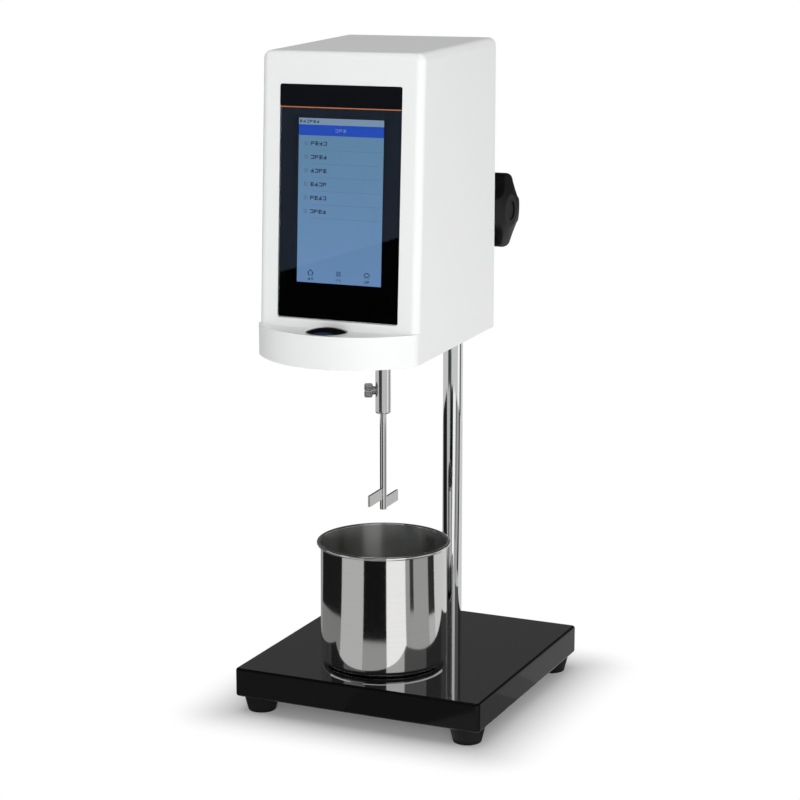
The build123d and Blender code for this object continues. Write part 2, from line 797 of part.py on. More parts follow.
# Lifting knob: a lobed grip whose face rises to a hub that a cap closes
hub_x = knob_outer_x + knob_hub_height
with BuildPart() as lift_knob:
    with BuildSketch(facing_right(knob_inner_x, pinion_y, pinion_z)):
        Circle(knob_diameter / 2)
        with PolarLocations(knob_scallop_distance, knob_lobes, start_angle=180 / knob_lobes + knob_turn):
            Circle(knob_scallop_radius, mode=Mode.SUBTRACT)
    extrude(amount=hub_x - knob_inner_x)
    fillet(lift_knob.edges().filter_by(Axis.X), knob_edge_round * 2)
    with BuildSketch(Plane(origin=(knob_inner_x, pinion_y, pinion_z), x_dir=(1, 0, 0), z_dir=(0, -1, 0))):
        with BuildLine():
            Polyline(
                (0, 0),
                (hub_x - knob_inner_x, 0),
                (hub_x - knob_inner_x, knob_hub_diameter / 2),
                (knob_length, knob_diameter / 2),
                (0, knob_diameter / 2),
                close=True,
            )
        make_face()
    revolve(axis=Axis((0, pinion_y, pinion_z), (1, 0, 0)), mode=Mode.INTERSECT)
    fillet(lift_knob.faces().filter_by(GeomType.CONE).edges(), knob_edge_round)
    with BuildSketch(facing_right(hub_x, pinion_y, pinion_z)):
        Circle(knob_recess_diameter / 2)
    extrude(amount=-knob_recess_depth, mode=Mode.SUBTRACT)
    with BuildSketch(facing_right(knob_inner_x, pinion_y, pinion_z)):
        Circle(pinion_shaft_diameter / 2 + press_gap)
    extrude(amount=knob_socket_depth, mode=Mode.SUBTRACT)
    with BuildSketch(facing_right(knob_inner_x, pinion_y, pinion_z)):
        Circle(knob_screw_diameter / 2 + press_gap)
    extrude(amount=hub_x - knob_inner_x, mode=Mode.SUBTRACT)

knob_screw_seat_x = hub_x - knob_recess_depth
knob_screw = socket_screws(
    facing_right(knob_screw_seat_x, pinion_y, pinion_z),
    [(0, 0)],
    knob_screw_diameter,
    knob_screw_seat_x - pinion_shaft_reach + knob_screw_grip,
    knob_screw_head_diameter,
    knob_screw_head_height,
)

with BuildPart() as knob_cap:
    with BuildSketch(facing_right(hub_x - knob_cap_depth, pinion_y, pinion_z)):
        Circle(knob_recess_diameter / 2 - press_gap)
    extrude(amount=-knob_cap_thickness)

# Head shell: one moulding open at the back, with a round chin and a scooped shelf for the button
face_middle_z = shelf_z - shelf_rise + glass_rise
face_plane = Plane(
    origin=(0, face_place(face_middle_z), face_middle_z),
    x_dir=(1, 0, 0),
    z_dir=(0, -cos(radians(face_lean)), sin(radians(face_lean))),
)
display_plane = face_plane.shift_origin(face_plane.from_local_coords((0, display_rise, 0)))
back_middle_z = head_bottom_z + head_height / 2
back_plane = Plane(origin=(0, head_back_y, back_middle_z), x_dir=(-1, 0, 0), z_dir=(0, 1, 0))
boss_inset = shell_wall + panel_boss_diameter / 2 - free_gap
boss_x = head_width / 2 - boss_inset
boss_reach = head_height / 2 - panel_screw_inset
boss_places = [(side * boss_x, level * boss_reach) for side in (-1, 1) for level in (-1, 0, 1)]
underside_z = bottom_height(spindle_y)
head_outer = head_form(0, head_edge_round)
head_hollow = head_form(shell_wall, 0)
with BuildPart() as head_shell:
    add(head_outer)
    add(head_hollow, mode=Mode.SUBTRACT)
    with BuildSketch(face_plane):
        RectangleRounded(glass_width + slip_gap, glass_height + slip_gap, glass_corner_round)
    extrude(amount=-glass_thickness, mode=Mode.SUBTRACT)
    with BuildSketch(display_plane):
        Rectangle(display_width + free_gap, display_height + free_gap)
    extrude(amount=-shell_wall * 2, mode=Mode.SUBTRACT)
    with BuildSketch(Plane.XY.offset(shelf_z)):
        rim_radius = chin_radius - shelf_rim
        rim_x = sqrt(rim_radius**2 - (chin_centre_y - chin_root_y) ** 2)
        with BuildLine():
            ThreePointArc((-rim_x, chin_root_y), (0, chin_front_y + shelf_rim), (rim_x, chin_root_y))
            Line((rim_x, chin_root_y), (-rim_x, chin_root_y))
        make_face()
    extrude(amount=-shelf_recess, mode=Mode.SUBTRACT)
    with BuildSketch(upright(shelf_z, button_y)):
        Circle(ring_diameter / 2 + press_gap)
    extrude(amount=-shelf_recess - ring_depth - free_gap, mode=Mode.SUBTRACT)
    with BuildSketch(upright(shelf_underside_z, button_y)):
        with Locations((-bracket_screw_x, 0), (bracket_screw_x, 0)):
            Circle(bracket_screw_diameter / 2)
    extrude(amount=bracket_screw_length - bracket_sheet + press_gap, mode=Mode.SUBTRACT)
    with BuildSketch(upright(underside_z - shell_wall, spindle_y)):
        Circle(nose_diameter / 2 + slip_gap)
    extrude(amount=shell_wall * 3, mode=Mode.SUBTRACT)
    with BuildSketch(back_plane.offset(-panel_thickness)):
        with Locations(*boss_places):
            Circle(panel_boss_diameter / 2)
    extrude(amount=-panel_boss_length)
    with BuildSketch(back_plane.offset(-panel_thickness)):
        with Locations(*boss_places):
            Circle(panel_screw_diameter / 2)
    extrude(amount=-panel_screw_length, mode=Mode.SUBTRACT)

with BuildPart() as glass_panel:
    with BuildSketch(face_plane):
        RectangleRounded(glass_width, glass_height, glass_corner_round)
    extrude(amount=-glass_thickness + press_gap)

with BuildPart() as display_module:
    with BuildSketch(display_plane.offset(-shell_wall)):
        Rectangle(display_width + 2 * display_frame, display_height + 2 * display_frame)
    extrude(amount=-display_thickness)
    fillet(display_module.edges().group_by(SortBy.LENGTH)[0], free_gap)


def turned_plane(z):
    """A section plane through the button's axis, with its X along the radius and its Y upwards."""
    return Plane(origin=(0, button_y, z), x_dir=(1, 0, 0), z_dir=(0, -1, 0))


# Button: a domed cap that slides in a bright ring, on a spring over a switch
ring_top_z = shelf_floor_z + ring_proud
ring_low_z = shelf_floor_z - ring_depth
ring_bore = ring_diameter / 2 - ring_wall
button_axis = Axis((0, button_y, 0), (0, 0, 1))
with BuildPart() as button_ring:
    with BuildSketch(upright(ring_low_z, button_y)):
        Circle(ring_diameter / 2)
        Circle(ring_bore, mode=Mode.SUBTRACT)
    extrude(amount=ring_top_z - ring_low_z)
    fillet(button_ring.edges().group_by(Axis.Z)[-1], ring_wall / 3)
    with BuildSketch(upright(ring_low_z, button_y)):
        Circle(ring_bore + ring_wall / 2)
        Circle(button_stem_diameter / 2 + slip_gap, mode=Mode.SUBTRACT)
    extrude(amount=ring_floor)

cap_edge_z = ring_top_z + button_edge_height
cap_low_z = cap_edge_z - button_skirt
stem_low_z = cap_low_z - button_stem_length
cap_radius = button_diameter / 2
cap_height = button_skirt + button_dome_height
dome_radius = (cap_radius**2 + button_dome_height**2) / (2 * button_dome_height)
with BuildPart() as button_cap:
    with BuildSketch(turned_plane(cap_low_z)):
        with BuildLine():
            Polyline((0, cap_height), (0, 0), (cap_radius, 0), (cap_radius, button_skirt))
            ThreePointArc(
                (cap_radius, button_skirt),
                (cap_radius / 2, cap_height - dome_radius + sqrt(dome_radius**2 - cap_radius**2 / 4)),
                (0, cap_height),
            )
        make_face()
    revolve(axis=button_axis)
    with BuildSketch(upright(cap_low_z, button_y)):
        Circle(button_stem_diameter / 2)
    extrude(amount=-button_stem_length)

spring_low_z = ring_low_z + ring_floor
spring_room = cap_low_z - spring_low_z
spring_height = spring_room - button_spring_wire
with BuildPart() as button_spring:
    with BuildLine():
        coil = Helix(
            pitch=spring_height / button_spring_turns,
            height=spring_height,
            radius=button_spring_diameter / 2,
            center=(0, button_y, spring_low_z + button_spring_wire / 2),
        )
    with BuildSketch(Plane(origin=coil @ 0, z_dir=coil % 0)):
        Circle(button_spring_wire / 2)
    sweep(path=coil, is_frenet=True)

plunger_top_z = stem_low_z - button_travel - press_gap
button_switch_top_z = plunger_top_z - button_plunger_height
button_switch_low_z = button_switch_top_z - button_switch_height
with BuildPart() as button_switch:
    with BuildSketch(upright(button_switch_low_z, button_y)):
        Rectangle(button_switch_width, button_switch_width)
    extrude(amount=button_switch_height)
    fillet(button_switch.edges().filter_by(Axis.Z), free_gap)
    with BuildSketch(upright(button_switch_top_z, button_y)):
        Circle(button_plunger_diameter / 2)
    extrude(amount=button_plunger_height)

with BuildPart() as button_bracket:
    with BuildSketch(Plane.XZ.offset(-button_y)):
        with BuildLine():
            Polyline(
                (-bracket_side - bracket_flange, shelf_underside_z),
                (-bracket_side - bracket_flange, shelf_underside_z - bracket_sheet),
                (-bracket_side, shelf_underside_z - bracket_sheet),
                (-bracket_side, button_switch_low_z - bracket_sheet),
                (bracket_side, button_switch_low_z - bracket_sheet),
                (bracket_side, shelf_underside_z - bracket_sheet),
                (bracket_side + bracket_flange, shelf_underside_z - bracket_sheet),
                (bracket_side + bracket_flange, shelf_underside_z),
                (bracket_side - bracket_sheet, shelf_underside_z),
                (bracket_side - bracket_sheet, button_switch_low_z),
                (bracket_sheet - bracket_side, button_switch_low_z),
                (bracket_sheet - bracket_side, shelf_underside_z),
                close=True,
            )
        make_face()
    extrude(amount=bracket_depth / 2, both=True)
    with BuildSketch(upright(shelf_underside_z, button_y)):
        with Locations((-bracket_screw_x, 0), (bracket_screw_x, 0)):
            Circle(bracket_screw_diameter / 2 + press_gap)
    extrude(amount=-bracket_sheet, mode=Mode.SUBTRACT)

bracket_screws = socket_screws(
    Plane(origin=(0, button_y, shelf_underside_z - bracket_sheet), x_dir=(1, 0, 0), z_dir=(0, 0, -1)),
    [(-bracket_screw_x, 0), (bracket_screw_x, 0)],
    bracket_screw_diameter,
    bracket_screw_length,
    bracket_screw_diameter * screw_head_share,
    bracket_screw_diameter * screw_head_height_share,
)

# Rear panel: a sheet let into the back of the shell, with vents and the fittings' cut-outs
fittings_rise = head_height / 2 - fittings_drop
vent_rise = head_height / 2 - vent_drop - vent_pitch * (vent_count - 1) / 2
bolt_places = corners(flange_bolt_spacing, flange_bolt_rise)
flange_offset = pinion_z - back_middle_z
panel_bolt_places = [(x, y + flange_offset) for x, y in bolt_places]
with BuildPart() as rear_panel:
    with BuildSketch(back_plane):
        Rectangle(head_width - 2 * (shell_wall + slip_gap), head_height - 2 * (shell_wall + slip_gap))
        with Locations((0, vent_rise)):
            with GridLocations(vent_spacing, vent_pitch, 2, vent_count):
                SlotOverall(vent_length, vent_width, mode=Mode.SUBTRACT)
        with Locations(*boss_places):
            Circle(panel_screw_diameter / 2 + press_gap, mode=Mode.SUBTRACT)
        with Locations(*panel_bolt_places):
            Circle(flange_bolt_diameter / 2 + slip_gap, mode=Mode.SUBTRACT)
        with Locations((switch_spacing, fittings_rise)):
            Rectangle(switch_width - 2 * switch_wall, switch_height - 2 * switch_wall, mode=Mode.SUBTRACT)
        with Locations((0, fittings_rise)):
            Circle(socket_body_diameter / 2 + press_gap, mode=Mode.SUBTRACT)
        with Locations((-switch_spacing, fittings_rise)):
            Rectangle(data_port_width, data_port_height, mode=Mode.SUBTRACT)
    extrude(amount=-panel_thickness)

panel_screws = socket_screws(
    back_plane,
    boss_places,
    panel_screw_diameter,
    panel_screw_length,
    panel_screw_head_diameter,
    panel_screw_head_height,
)
carriage_bolts = socket_screws(
    flange_face,
    bolt_places,
    flange_bolt_diameter,
    flange_thickness + panel_thickness + chassis_sheet - slip_gap,
    flange_bolt_head_diameter,
    flange_bolt_head_height,
)

# Power switch: a frame in the rear panel and a rocker on two pivots
switch_x = -switch_spacing
switch_z = back_middle_z + fittings_rise
switch_plane = Plane(origin=(switch_x, head_back_y, switch_z), x_dir=(-1, 0, 0), z_dir=(0, 1, 0))
rocker_y = head_back_y + switch_rim - free_gap
with BuildPart() as switch_frame:
    with BuildSketch(switch_plane):
        RectangleRounded(switch_width, switch_height, switch_rim / 2)
    extrude(amount=switch_rim)
    with BuildSketch(switch_plane):
        Rectangle(switch_width - 2 * switch_wall - slip_gap, switch_height - 2 * switch_wall - slip_gap)
    extrude(amount=-switch_depth)
    with BuildSketch(switch_plane.offset(switch_rim)):
        Rectangle(switch_window_width, switch_window_height)
    extrude(amount=-switch_window_depth, mode=Mode.SUBTRACT)
    with BuildSketch(facing_right(switch_x, rocker_y, switch_z)):
        Circle(rocker_pivot_diameter / 2 + running_gap)
    extrude(amount=rocker_width / 2 + rocker_pivot_reach + slip_gap, both=True, mode=Mode.SUBTRACT)

with BuildPart() as switch_rocker:
    with BuildSketch(facing_right(switch_x, rocker_y, switch_z)):
        Circle(rocker_radius)
        with Locations(Location((0, 0, 0), (0, 0, rocker_tilt))):
            with BuildLine():
                Polyline(
                    (-rocker_floor, -rocker_radius),
                    (rocker_crest, -rocker_radius),
                    (rocker_valley, 0),
                    (rocker_crest, rocker_radius),
                    (-rocker_floor, rocker_radius),
                    close=True,
                )
            make_face(mode=Mode.INTERSECT)
    extrude(amount=rocker_width / 2, both=True)
    with BuildSketch(facing_right(switch_x, rocker_y, switch_z)):
        Circle(rocker_pivot_diameter / 2)
    extrude(amount=rocker_width / 2 + rocker_pivot_reach, both=True)

# Power socket and data socket
socket_plane = Plane(origin=(0, head_back_y, switch_z), x_dir=(-1, 0, 0), z_dir=(0, 1, 0))
with BuildPart() as power_socket:
    with BuildSketch(socket_plane):
        Circle(socket_diameter / 2)
    extrude(amount=socket_flange)
    with BuildSketch(socket_plane):
        Circle(socket_body_diameter / 2)
    extrude(amount=-socket_depth)
    with BuildSketch(socket_plane.offset(socket_flange)):
        Circle(socket_bore / 2)
        Circle(socket_pin / 2, mode=Mode.SUBTRACT)
    extrude(amount=free_gap - socket_depth, mode=Mode.SUBTRACT)

port_plane = Plane(origin=(switch_spacing, head_back_y, switch_z), x_dir=(-1, 0, 0), z_dir=(0, 1, 0))
with BuildPart() as data_port:
    with BuildSketch(port_plane.offset(data_port_rim)):
        Rectangle(data_port_width - slip_gap, data_port_height - slip_gap)
    extrude(amount=-data_port_depth)
    with BuildSketch(port_plane.offset(data_port_rim)):
        Rectangle(data_port_mouth_width, data_port_mouth_height)
        Rectangle(data_port_tongue_width, data_port_tongue_height, mode=Mode.SUBTRACT)
    extrude(amount=-data_port_mouth_depth, mode=Mode.SUBTRACT)

# Chassis: an upright sheet behind the rear panel and a deck that carries the spindle and the motor
chassis_y = panel_inner_y - chassis_sheet
chassis_low_z = deck_z - chassis_bottom_drop
chassis_high_z = head_top_z - chassis_top_drop
deck_top_z = deck_z + chassis_sheet
gusset_x = chassis_width / 2 - chassis_sheet
drive_distance = drive_module * (spindle_gear_teeth + motor_gear_teeth) / 2
motor_y = spindle_y + drive_distance
with BuildPart() as chassis:
    with BuildSketch(upright(chassis_low_z, chassis_y)):
        Rectangle(chassis_width, chassis_sheet, align=(Align.CENTER, Align.MIN))
    extrude(amount=chassis_high_z - chassis_low_z)
    with BuildSketch(upright(deck_z, chassis_y)):
        Rectangle(chassis_width, deck_reach, align=(Align.CENTER, Align.MAX))
    extrude(amount=chassis_sheet)
    with BuildSketch(facing_right(gusset_x, 0, 0), facing_right(-chassis_width / 2, 0, 0)):
        with BuildLine():
            Polyline(
                (chassis_y, deck_z),
                (chassis_y, deck_z - gusset_height),
                (chassis_y - deck_reach, deck_z),
                close=True,
            )
        make_face()
    extrude(amount=chassis_sheet)
    with BuildSketch(upright(deck_z, spindle_y)):
        Circle(spindle_diameter / 2 + free_gap)
        with Locations(*corners(housing_screw_spacing_x, housing_screw_spacing_y)):
            Circle(housing_screw_diameter / 2)
    extrude(amount=chassis_sheet, mode=Mode.SUBTRACT)
    with BuildSketch(upright(deck_z, motor_y)):
        Circle(motor_shaft_diameter / 2 + free_gap)
        with Locations(*corners(motor_hole_spacing, motor_hole_spacing)):
            Circle(motor_screw_diameter / 2 + press_gap)
    extrude(amount=chassis_sheet, mode=Mode.SUBTRACT)
    with BuildSketch(back_plane.offset(-panel_thickness)):
        with Locations(*panel_bolt_places):
            Circle(flange_bolt_diameter / 2)
    extrude(amount=-chassis_sheet, mode=Mode.SUBTRACT)

# Bearing housing: a flanged tube under the deck whose nose passes through the shell
nose_low_z = underside_z - nose_proud
nose_high_z = underside_z + shell_wall + housing_bore_gap
bearing_floor_z = underside_z + housing_floor
upper_bearing_z = deck_z - bearing_width
with BuildPart() as bearing_housing:
    with BuildSketch(upright(nose_low_z, spindle_y)):
        Circle(nose_diameter / 2)
    extrude(amount=nose_high_z - nose_low_z)
    with BuildSketch(upright(nose_high_z, spindle_y)):
        Circle(bearing_diameter / 2 + housing_wall)
    extrude(amount=deck_z - nose_high_z)
    with BuildSketch(upright(deck_z, spindle_y)):
        RectangleRounded(housing_flange_width, housing_flange_depth, housing_wall)
    extrude(amount=-housing_flange_thickness)
    with BuildSketch(upright(bearing_floor_z, spindle_y)):
        Circle(bearing_diameter / 2 + press_gap)
    extrude(amount=deck_z - bearing_floor_z, mode=Mode.SUBTRACT)
    with BuildSketch(upright(nose_low_z, spindle_y)):
        Circle(spindle_diameter / 2 + housing_bore_gap)
    extrude(amount=deck_z - nose_low_z, mode=Mode.SUBTRACT)
    with BuildSketch(upright(deck_z, spindle_y)):
        with Locations(*corners(housing_screw_spacing_x, housing_screw_spacing_y)):
            Circle(housing_screw_diameter / 2 + press_gap)
    extrude(amount=-housing_flange_thickness, mode=Mode.SUBTRACT)

housing_screws = socket_screws(
    Plane(origin=(0, spindle_y, deck_z - housing_flange_thickness), x_dir=(1, 0, 0), z_dir=(0, 0, -1)),
    corners(housing_screw_spacing_x, housing_screw_spacing_y),
    housing_screw_diameter,
    housing_flange_thickness + chassis_sheet,
    housing_screw_diameter * screw_head_share,
    housing_screw_diameter * screw_head_height_share,
)

# Two ball bearings and the spacer between their outer rings
bearing_places = [upright(bearing_floor_z, spindle_y), upright(upper_bearing_z, spindle_y)]
ball_heights = [bearing_floor_z + bearing_width / 2, upper_bearing_z + bearing_width / 2]
ball_centres = [(0, spindle_y, z) for z in ball_heights]
ball_circle = bearing_ball_circle / 2
groove_radius = bearing_ball_diameter / 2 + bearing_groove_gap
with BuildPart() as bearing_outer_rings:
    with BuildSketch(*bearing_places):
        Circle(bearing_diameter / 2)
        Circle(ball_circle + bearing_ring_drop, mode=Mode.SUBTRACT)
    extrude(amount=bearing_width)
    with Locations(*ball_centres):
        Torus(ball_circle, groove_radius, mode=Mode.SUBTRACT)

with BuildPart() as bearing_inner_rings:
    with BuildSketch(*bearing_places):
        Circle(ball_circle - bearing_ring_drop)
        Circle(spindle_diameter / 2 + press_gap, mode=Mode.SUBTRACT)
    extrude(amount=bearing_width)
    with Locations(*ball_centres):
        Torus(ball_circle, groove_radius, mode=Mode.SUBTRACT)

with BuildPart() as bearing_balls:
    with Locations(*ball_centres):
        with PolarLocations(ball_circle, bearing_ball_count):
            Sphere(bearing_ball_diameter / 2)

with BuildPart() as bearing_spacer:
    with BuildSketch(upright(bearing_floor_z + bearing_width, spindle_y)):
        Circle(bearing_diameter / 2)
        Circle(bearing_diameter / 2 - spacer_wall, mode=Mode.SUBTRACT)
    extrude(amount=upper_bearing_z - bearing_floor_z - bearing_width)

# Spindle with its gear and its slotted disc
collar_low_z = head_bottom_z - collar_drop
collar_high_z = collar_low_z + collar_length
spindle_low_z = collar_low_z + rotor_socket_depth + slip_gap
spindle_high_z = deck_z + spindle_top_rise
gear_low_z = deck_top_z + drive_gear_rise
gear_high_z = gear_low_z + drive_gear_width
with BuildPart() as spindle_shaft:
    with BuildSketch(upright(spindle_low_z, spindle_y)):
        Circle(spindle_diameter / 2)
    extrude(amount=spindle_high_z - spindle_low_z)

first_gap = 90 + 180 / spindle_gear_teeth
with BuildPart() as spindle_gear:
    with BuildSketch(upright(gear_low_z, spindle_y)):
        with BuildLine():
            Polyline(*gear_points(spindle_gear_teeth, drive_module, first_gap), close=True)
        make_face()
        with PolarLocations(spindle_gear_hole_circle / 2, spindle_gear_holes):
            Circle(spindle_gear_hole / 2, mode=Mode.SUBTRACT)
    extrude(amount=drive_gear_width)
    with BuildSketch(upright(gear_high_z, spindle_y)):
        Circle(spindle_gear_hub / 2)
    extrude(amount=gear_hub_height)
    with BuildSketch(upright(gear_low_z, spindle_y)):
        Circle(spindle_diameter / 2 + press_gap)
    extrude(amount=drive_gear_width + gear_hub_height, mode=Mode.SUBTRACT)

encoder_z = deck_z + encoder_rise
with BuildPart() as encoder_disc:
    with BuildSketch(upright(encoder_z, spindle_y)):
        Circle(encoder_diameter / 2)
        with PolarLocations(encoder_slot_circle / 2, encoder_slots):
            Rectangle(encoder_slot_length, encoder_slot_width, mode=Mode.SUBTRACT)
    extrude(amount=encoder_thickness)
    with BuildSketch(upright(encoder_z + encoder_thickness, spindle_y)):
        Circle(encoder_hub / 2)
    extrude(amount=encoder_hub_height)
    with BuildSketch(upright(encoder_z, spindle_y)):
        Circle(spindle_diameter / 2 + press_gap)
    extrude(amount=encoder_thickness + encoder_hub_height, mode=Mode.SUBTRACT)

sensor_near_x = encoder_diameter / 2 - sensor_overlap
sensor_far_x = sensor_near_x + sensor_reach + sensor_post
sensor_low_z = encoder_z - sensor_slot / 2 - (sensor_height - sensor_slot) / 2 + encoder_thickness / 2
with BuildPart() as encoder_sensor:
    with BuildSketch(upright(sensor_low_z, spindle_y)):
        with Locations((sensor_near_x, 0)):
            Rectangle(sensor_far_x - sensor_near_x, sensor_width, align=(Align.MIN, Align.CENTER))
    extrude(amount=sensor_height)
    with BuildSketch(upright(encoder_z + encoder_thickness / 2 - sensor_slot / 2, spindle_y)):
        Circle(encoder_diameter / 2 + free_gap)
    extrude(amount=sensor_slot, mode=Mode.SUBTRACT)
    with BuildSketch(upright(deck_top_z, spindle_y)):
        with Locations((sensor_far_x, 0)):
            Rectangle(sensor_post, sensor_width, align=(Align.MAX, Align.CENTER))
    extrude(amount=sensor_low_z - deck_top_z)

# Motor under the deck, its shaft through the deck and its gear in mesh with the spindle's
motor_low_z = deck_z - motor_length
with BuildPart() as motor:
    with BuildSketch(upright(motor_low_z, motor_y)):
        Rectangle(motor_width, motor_width)
    extrude(amount=motor_length)
    chamfer(motor.edges().filter_by(Axis.Z), motor_corner)
    with BuildSketch(upright(deck_z, motor_y)):
        Circle(motor_shaft_diameter / 2 + running_gap)
    extrude(amount=-motor_shaft_depth, mode=Mode.SUBTRACT)
    with BuildSketch(upright(deck_z, motor_y)):
        with Locations(*corners(motor_hole_spacing, motor_hole_spacing)):
            Circle(motor_screw_diameter / 2)
    extrude(amount=-chassis_sheet, mode=Mode.SUBTRACT)

motor_screws = socket_screws(
    upright(deck_top_z, motor_y),
    corners(motor_hole_spacing, motor_hole_spacing),
    motor_screw_diameter,
    2 * chassis_sheet - free_gap,
    motor_screw_diameter * screw_head_share,
    motor_screw_diameter * screw_head_height_share,
)

with BuildPart() as motor_shaft:
    with BuildSketch(upright(deck_z - motor_shaft_depth + slip_gap, motor_y)):
        Circle(motor_shaft_diameter / 2)
    extrude(amount=motor_shaft_depth - slip_gap + gear_high_z + gear_hub_height - deck_z)

with BuildPart() as motor_gear:
    with BuildSketch(upright(gear_low_z, motor_y)):
        with BuildLine():
            Polyline(*gear_points(motor_gear_teeth, drive_module, -90), close=True)
        make_face()
    extrude(amount=drive_gear_width)
    with BuildSketch(upright(gear_high_z, motor_y)):
        Circle(motor_gear_hub / 2)
    extrude(amount=gear_hub_height)
    with BuildSketch(upright(gear_low_z, motor_y)):
        Circle(motor_shaft_diameter / 2 + press_gap)
    extrude(amount=drive_gear_width + gear_hub_height, mode=Mode.SUBTRACT)

# Coupling collar, its set screw, the thumbscrew and the rotor
rotor_low_z = head_bottom_z - rotor_drop
rotor_high_z = collar_low_z + rotor_socket_depth - rotor_top_gap
thumbscrew_z = collar_low_z + thumbscrew_rise
thumbscrew_aim = Vector(cos(radians(thumbscrew_azimuth)), sin(radians(thumbscrew_azimuth)), 0)
thumbscrew_side = Vector(-thumbscrew_aim.Y, thumbscrew_aim.X, 0)
thumbscrew_plane = Plane(origin=(0, spindle_y, thumbscrew_z), x_dir=thumbscrew_side, z_dir=thumbscrew_aim)
set_screw_z = (spindle_low_z + collar_high_z) / 2
set_screw_plane = Plane(origin=(0, spindle_y, set_screw_z), x_dir=thumbscrew_side, z_dir=thumbscrew_aim)
with BuildPart() as coupling_collar:
    with BuildSketch(upright(collar_low_z, spindle_y)):
        Circle(collar_diameter / 2)
    extrude(amount=collar_length)
    fillet(coupling_collar.edges().group_by(Axis.Z)[0], collar_edge_round)
    with BuildSketch(upright(collar_high_z, spindle_y)):
        Circle(spindle_diameter / 2 + press_gap)
    extrude(amount=rotor_socket_depth - collar_length, mode=Mode.SUBTRACT)
    with BuildSketch(upright(collar_low_z, spindle_y)):
        Circle(rotor_diameter / 2 + running_gap)
    extrude(amount=rotor_socket_depth, mode=Mode.SUBTRACT)
    with BuildSketch(thumbscrew_plane):
        Circle(thumbscrew_diameter / 2 + running_gap)
    extrude(amount=collar_diameter, mode=Mode.SUBTRACT)
    with BuildSketch(set_screw_plane):
        Circle(set_screw_diameter / 2)
    extrude(amount=collar_diameter, mode=Mode.SUBTRACT)

with BuildPart() as collar_set_screw:
    with BuildSketch(set_screw_plane.offset(spindle_diameter / 2 + press_gap)):
        Circle(set_screw_diameter / 2 - press_gap)
    extrude(amount=set_screw_length)
    with BuildSketch(set_screw_plane.offset(spindle_diameter / 2 + press_gap + set_screw_length)):
        RegularPolygon(set_screw_diameter / 4, socket_sides)
    extrude(amount=-set_screw_length / 2, mode=Mode.SUBTRACT)

neck_start = collar_diameter / 2 + press_gap
head_start = neck_start + thumbscrew_neck_length
rib_circle = thumbscrew_head_diameter / 2 + thumbscrew_rib_depth
with BuildPart() as thumbscrew:
    with BuildSketch(thumbscrew_plane.offset(rotor_diameter / 2 + running_gap)):
        Circle(thumbscrew_diameter / 2)
    extrude(amount=head_start - rotor_diameter / 2 - running_gap)
    with BuildSketch(thumbscrew_plane.offset(neck_start)):
        Circle(thumbscrew_neck_diameter / 2)
    extrude(amount=thumbscrew_neck_length)
    with BuildSketch(thumbscrew_plane.offset(head_start)):
        Circle(thumbscrew_head_diameter / 2)
        with PolarLocations(rib_circle, thumbscrew_ribs):
            Circle(2 * thumbscrew_rib_depth, mode=Mode.SUBTRACT)
    extrude(amount=thumbscrew_head_length)

with BuildPart() as rotor_shaft:
    with BuildSketch(upright(rotor_low_z, spindle_y)):
        Circle(rotor_diameter / 2)
    extrude(amount=rotor_high_z - rotor_low_z)

blade_turn = Location((0, 0, 0), (0, 0, 1), blade_azimuth)
with BuildPart() as paddle_blades:
    with BuildSketch(upright(rotor_low_z, spindle_y)):
        with Locations(blade_turn):
            Rectangle(blade_span / 2, blade_thickness, align=(Align.MIN, Align.CENTER))
        Circle(rotor_diameter / 2 + press_gap, mode=Mode.SUBTRACT)
    extrude(amount=blade_height)
    with BuildSketch(upright(rotor_low_z + blade_height, spindle_y)):
        with Locations(blade_turn):
            Rectangle(blade_span / 2, blade_thickness, align=(Align.MAX, Align.CENTER))
        Circle(rotor_diameter / 2 + press_gap, mode=Mode.SUBTRACT)
    extrude(amount=blade_height)

# Electronics: the main board behind the display and the power module on the chassis
board_seat = face_plane.offset(-shell_wall - board_gap)
board_foot = (deck_top_z + board_deck_gap - board_seat.origin.Z) / cos(radians(face_lean))
board_plane = board_seat.shift_origin(board_seat.from_local_coords((0, board_foot + board_height / 2, 0)))
standoff_places = corners(board_width - 2 * standoff_inset, board_height - 2 * standoff_inset)
with BuildPart() as board_standoffs:
    with BuildSketch(board_plane.offset(board_gap)):
        with Locations(*standoff_places):
            RegularPolygon(standoff_diameter / 2, socket_sides)
    extrude(amount=-board_gap)
    with BuildSketch(board_plane):
        with Locations(*standoff_places):
            Circle(board_screw_diameter / 2)
    extrude(amount=board_gap / 2, mode=Mode.SUBTRACT)

with BuildPart() as main_board:
    with BuildSketch(board_plane):
        RectangleRounded(board_width, board_height, board_thickness)
        with Locations(*standoff_places):
            Circle(board_screw_diameter / 2 + press_gap, mode=Mode.SUBTRACT)
    extrude(amount=-board_thickness)
    with BuildSketch(board_plane.offset(-board_thickness)):
        with GridLocations(0, connector_pitch, 1, 3):
            Rectangle(connector_width, connector_height)
    extrude(amount=-connector_depth)
    with BuildSketch(board_plane.offset(-board_thickness)):
        with GridLocations(board_width / 2, connector_pitch, 2, 2):
            Rectangle(chip_width, chip_width)
    extrude(amount=-chip_depth)

board_screws = socket_screws(
    Plane(origin=board_plane.offset(-board_thickness).origin, x_dir=(1, 0, 0), z_dir=-board_plane.z_dir),
    standoff_places,
    board_screw_diameter,
    board_thickness + board_gap / 3,
    board_screw_diameter * screw_head_share,
    board_screw_diameter * screw_head_height_share,
)

module_z = head_top_z - module_drop - module_height / 2
module_plane = Plane(origin=(0, chassis_y, module_z), x_dir=(1, 0, 0), z_dir=(0, -1, 0))
with BuildPart() as power_module:
    with BuildSketch(module_plane):
        Rectangle(module_width, module_height)
    extrude(amount=module_depth)
    fillet(power_module.edges().filter_by(Axis.Y), free_gap)

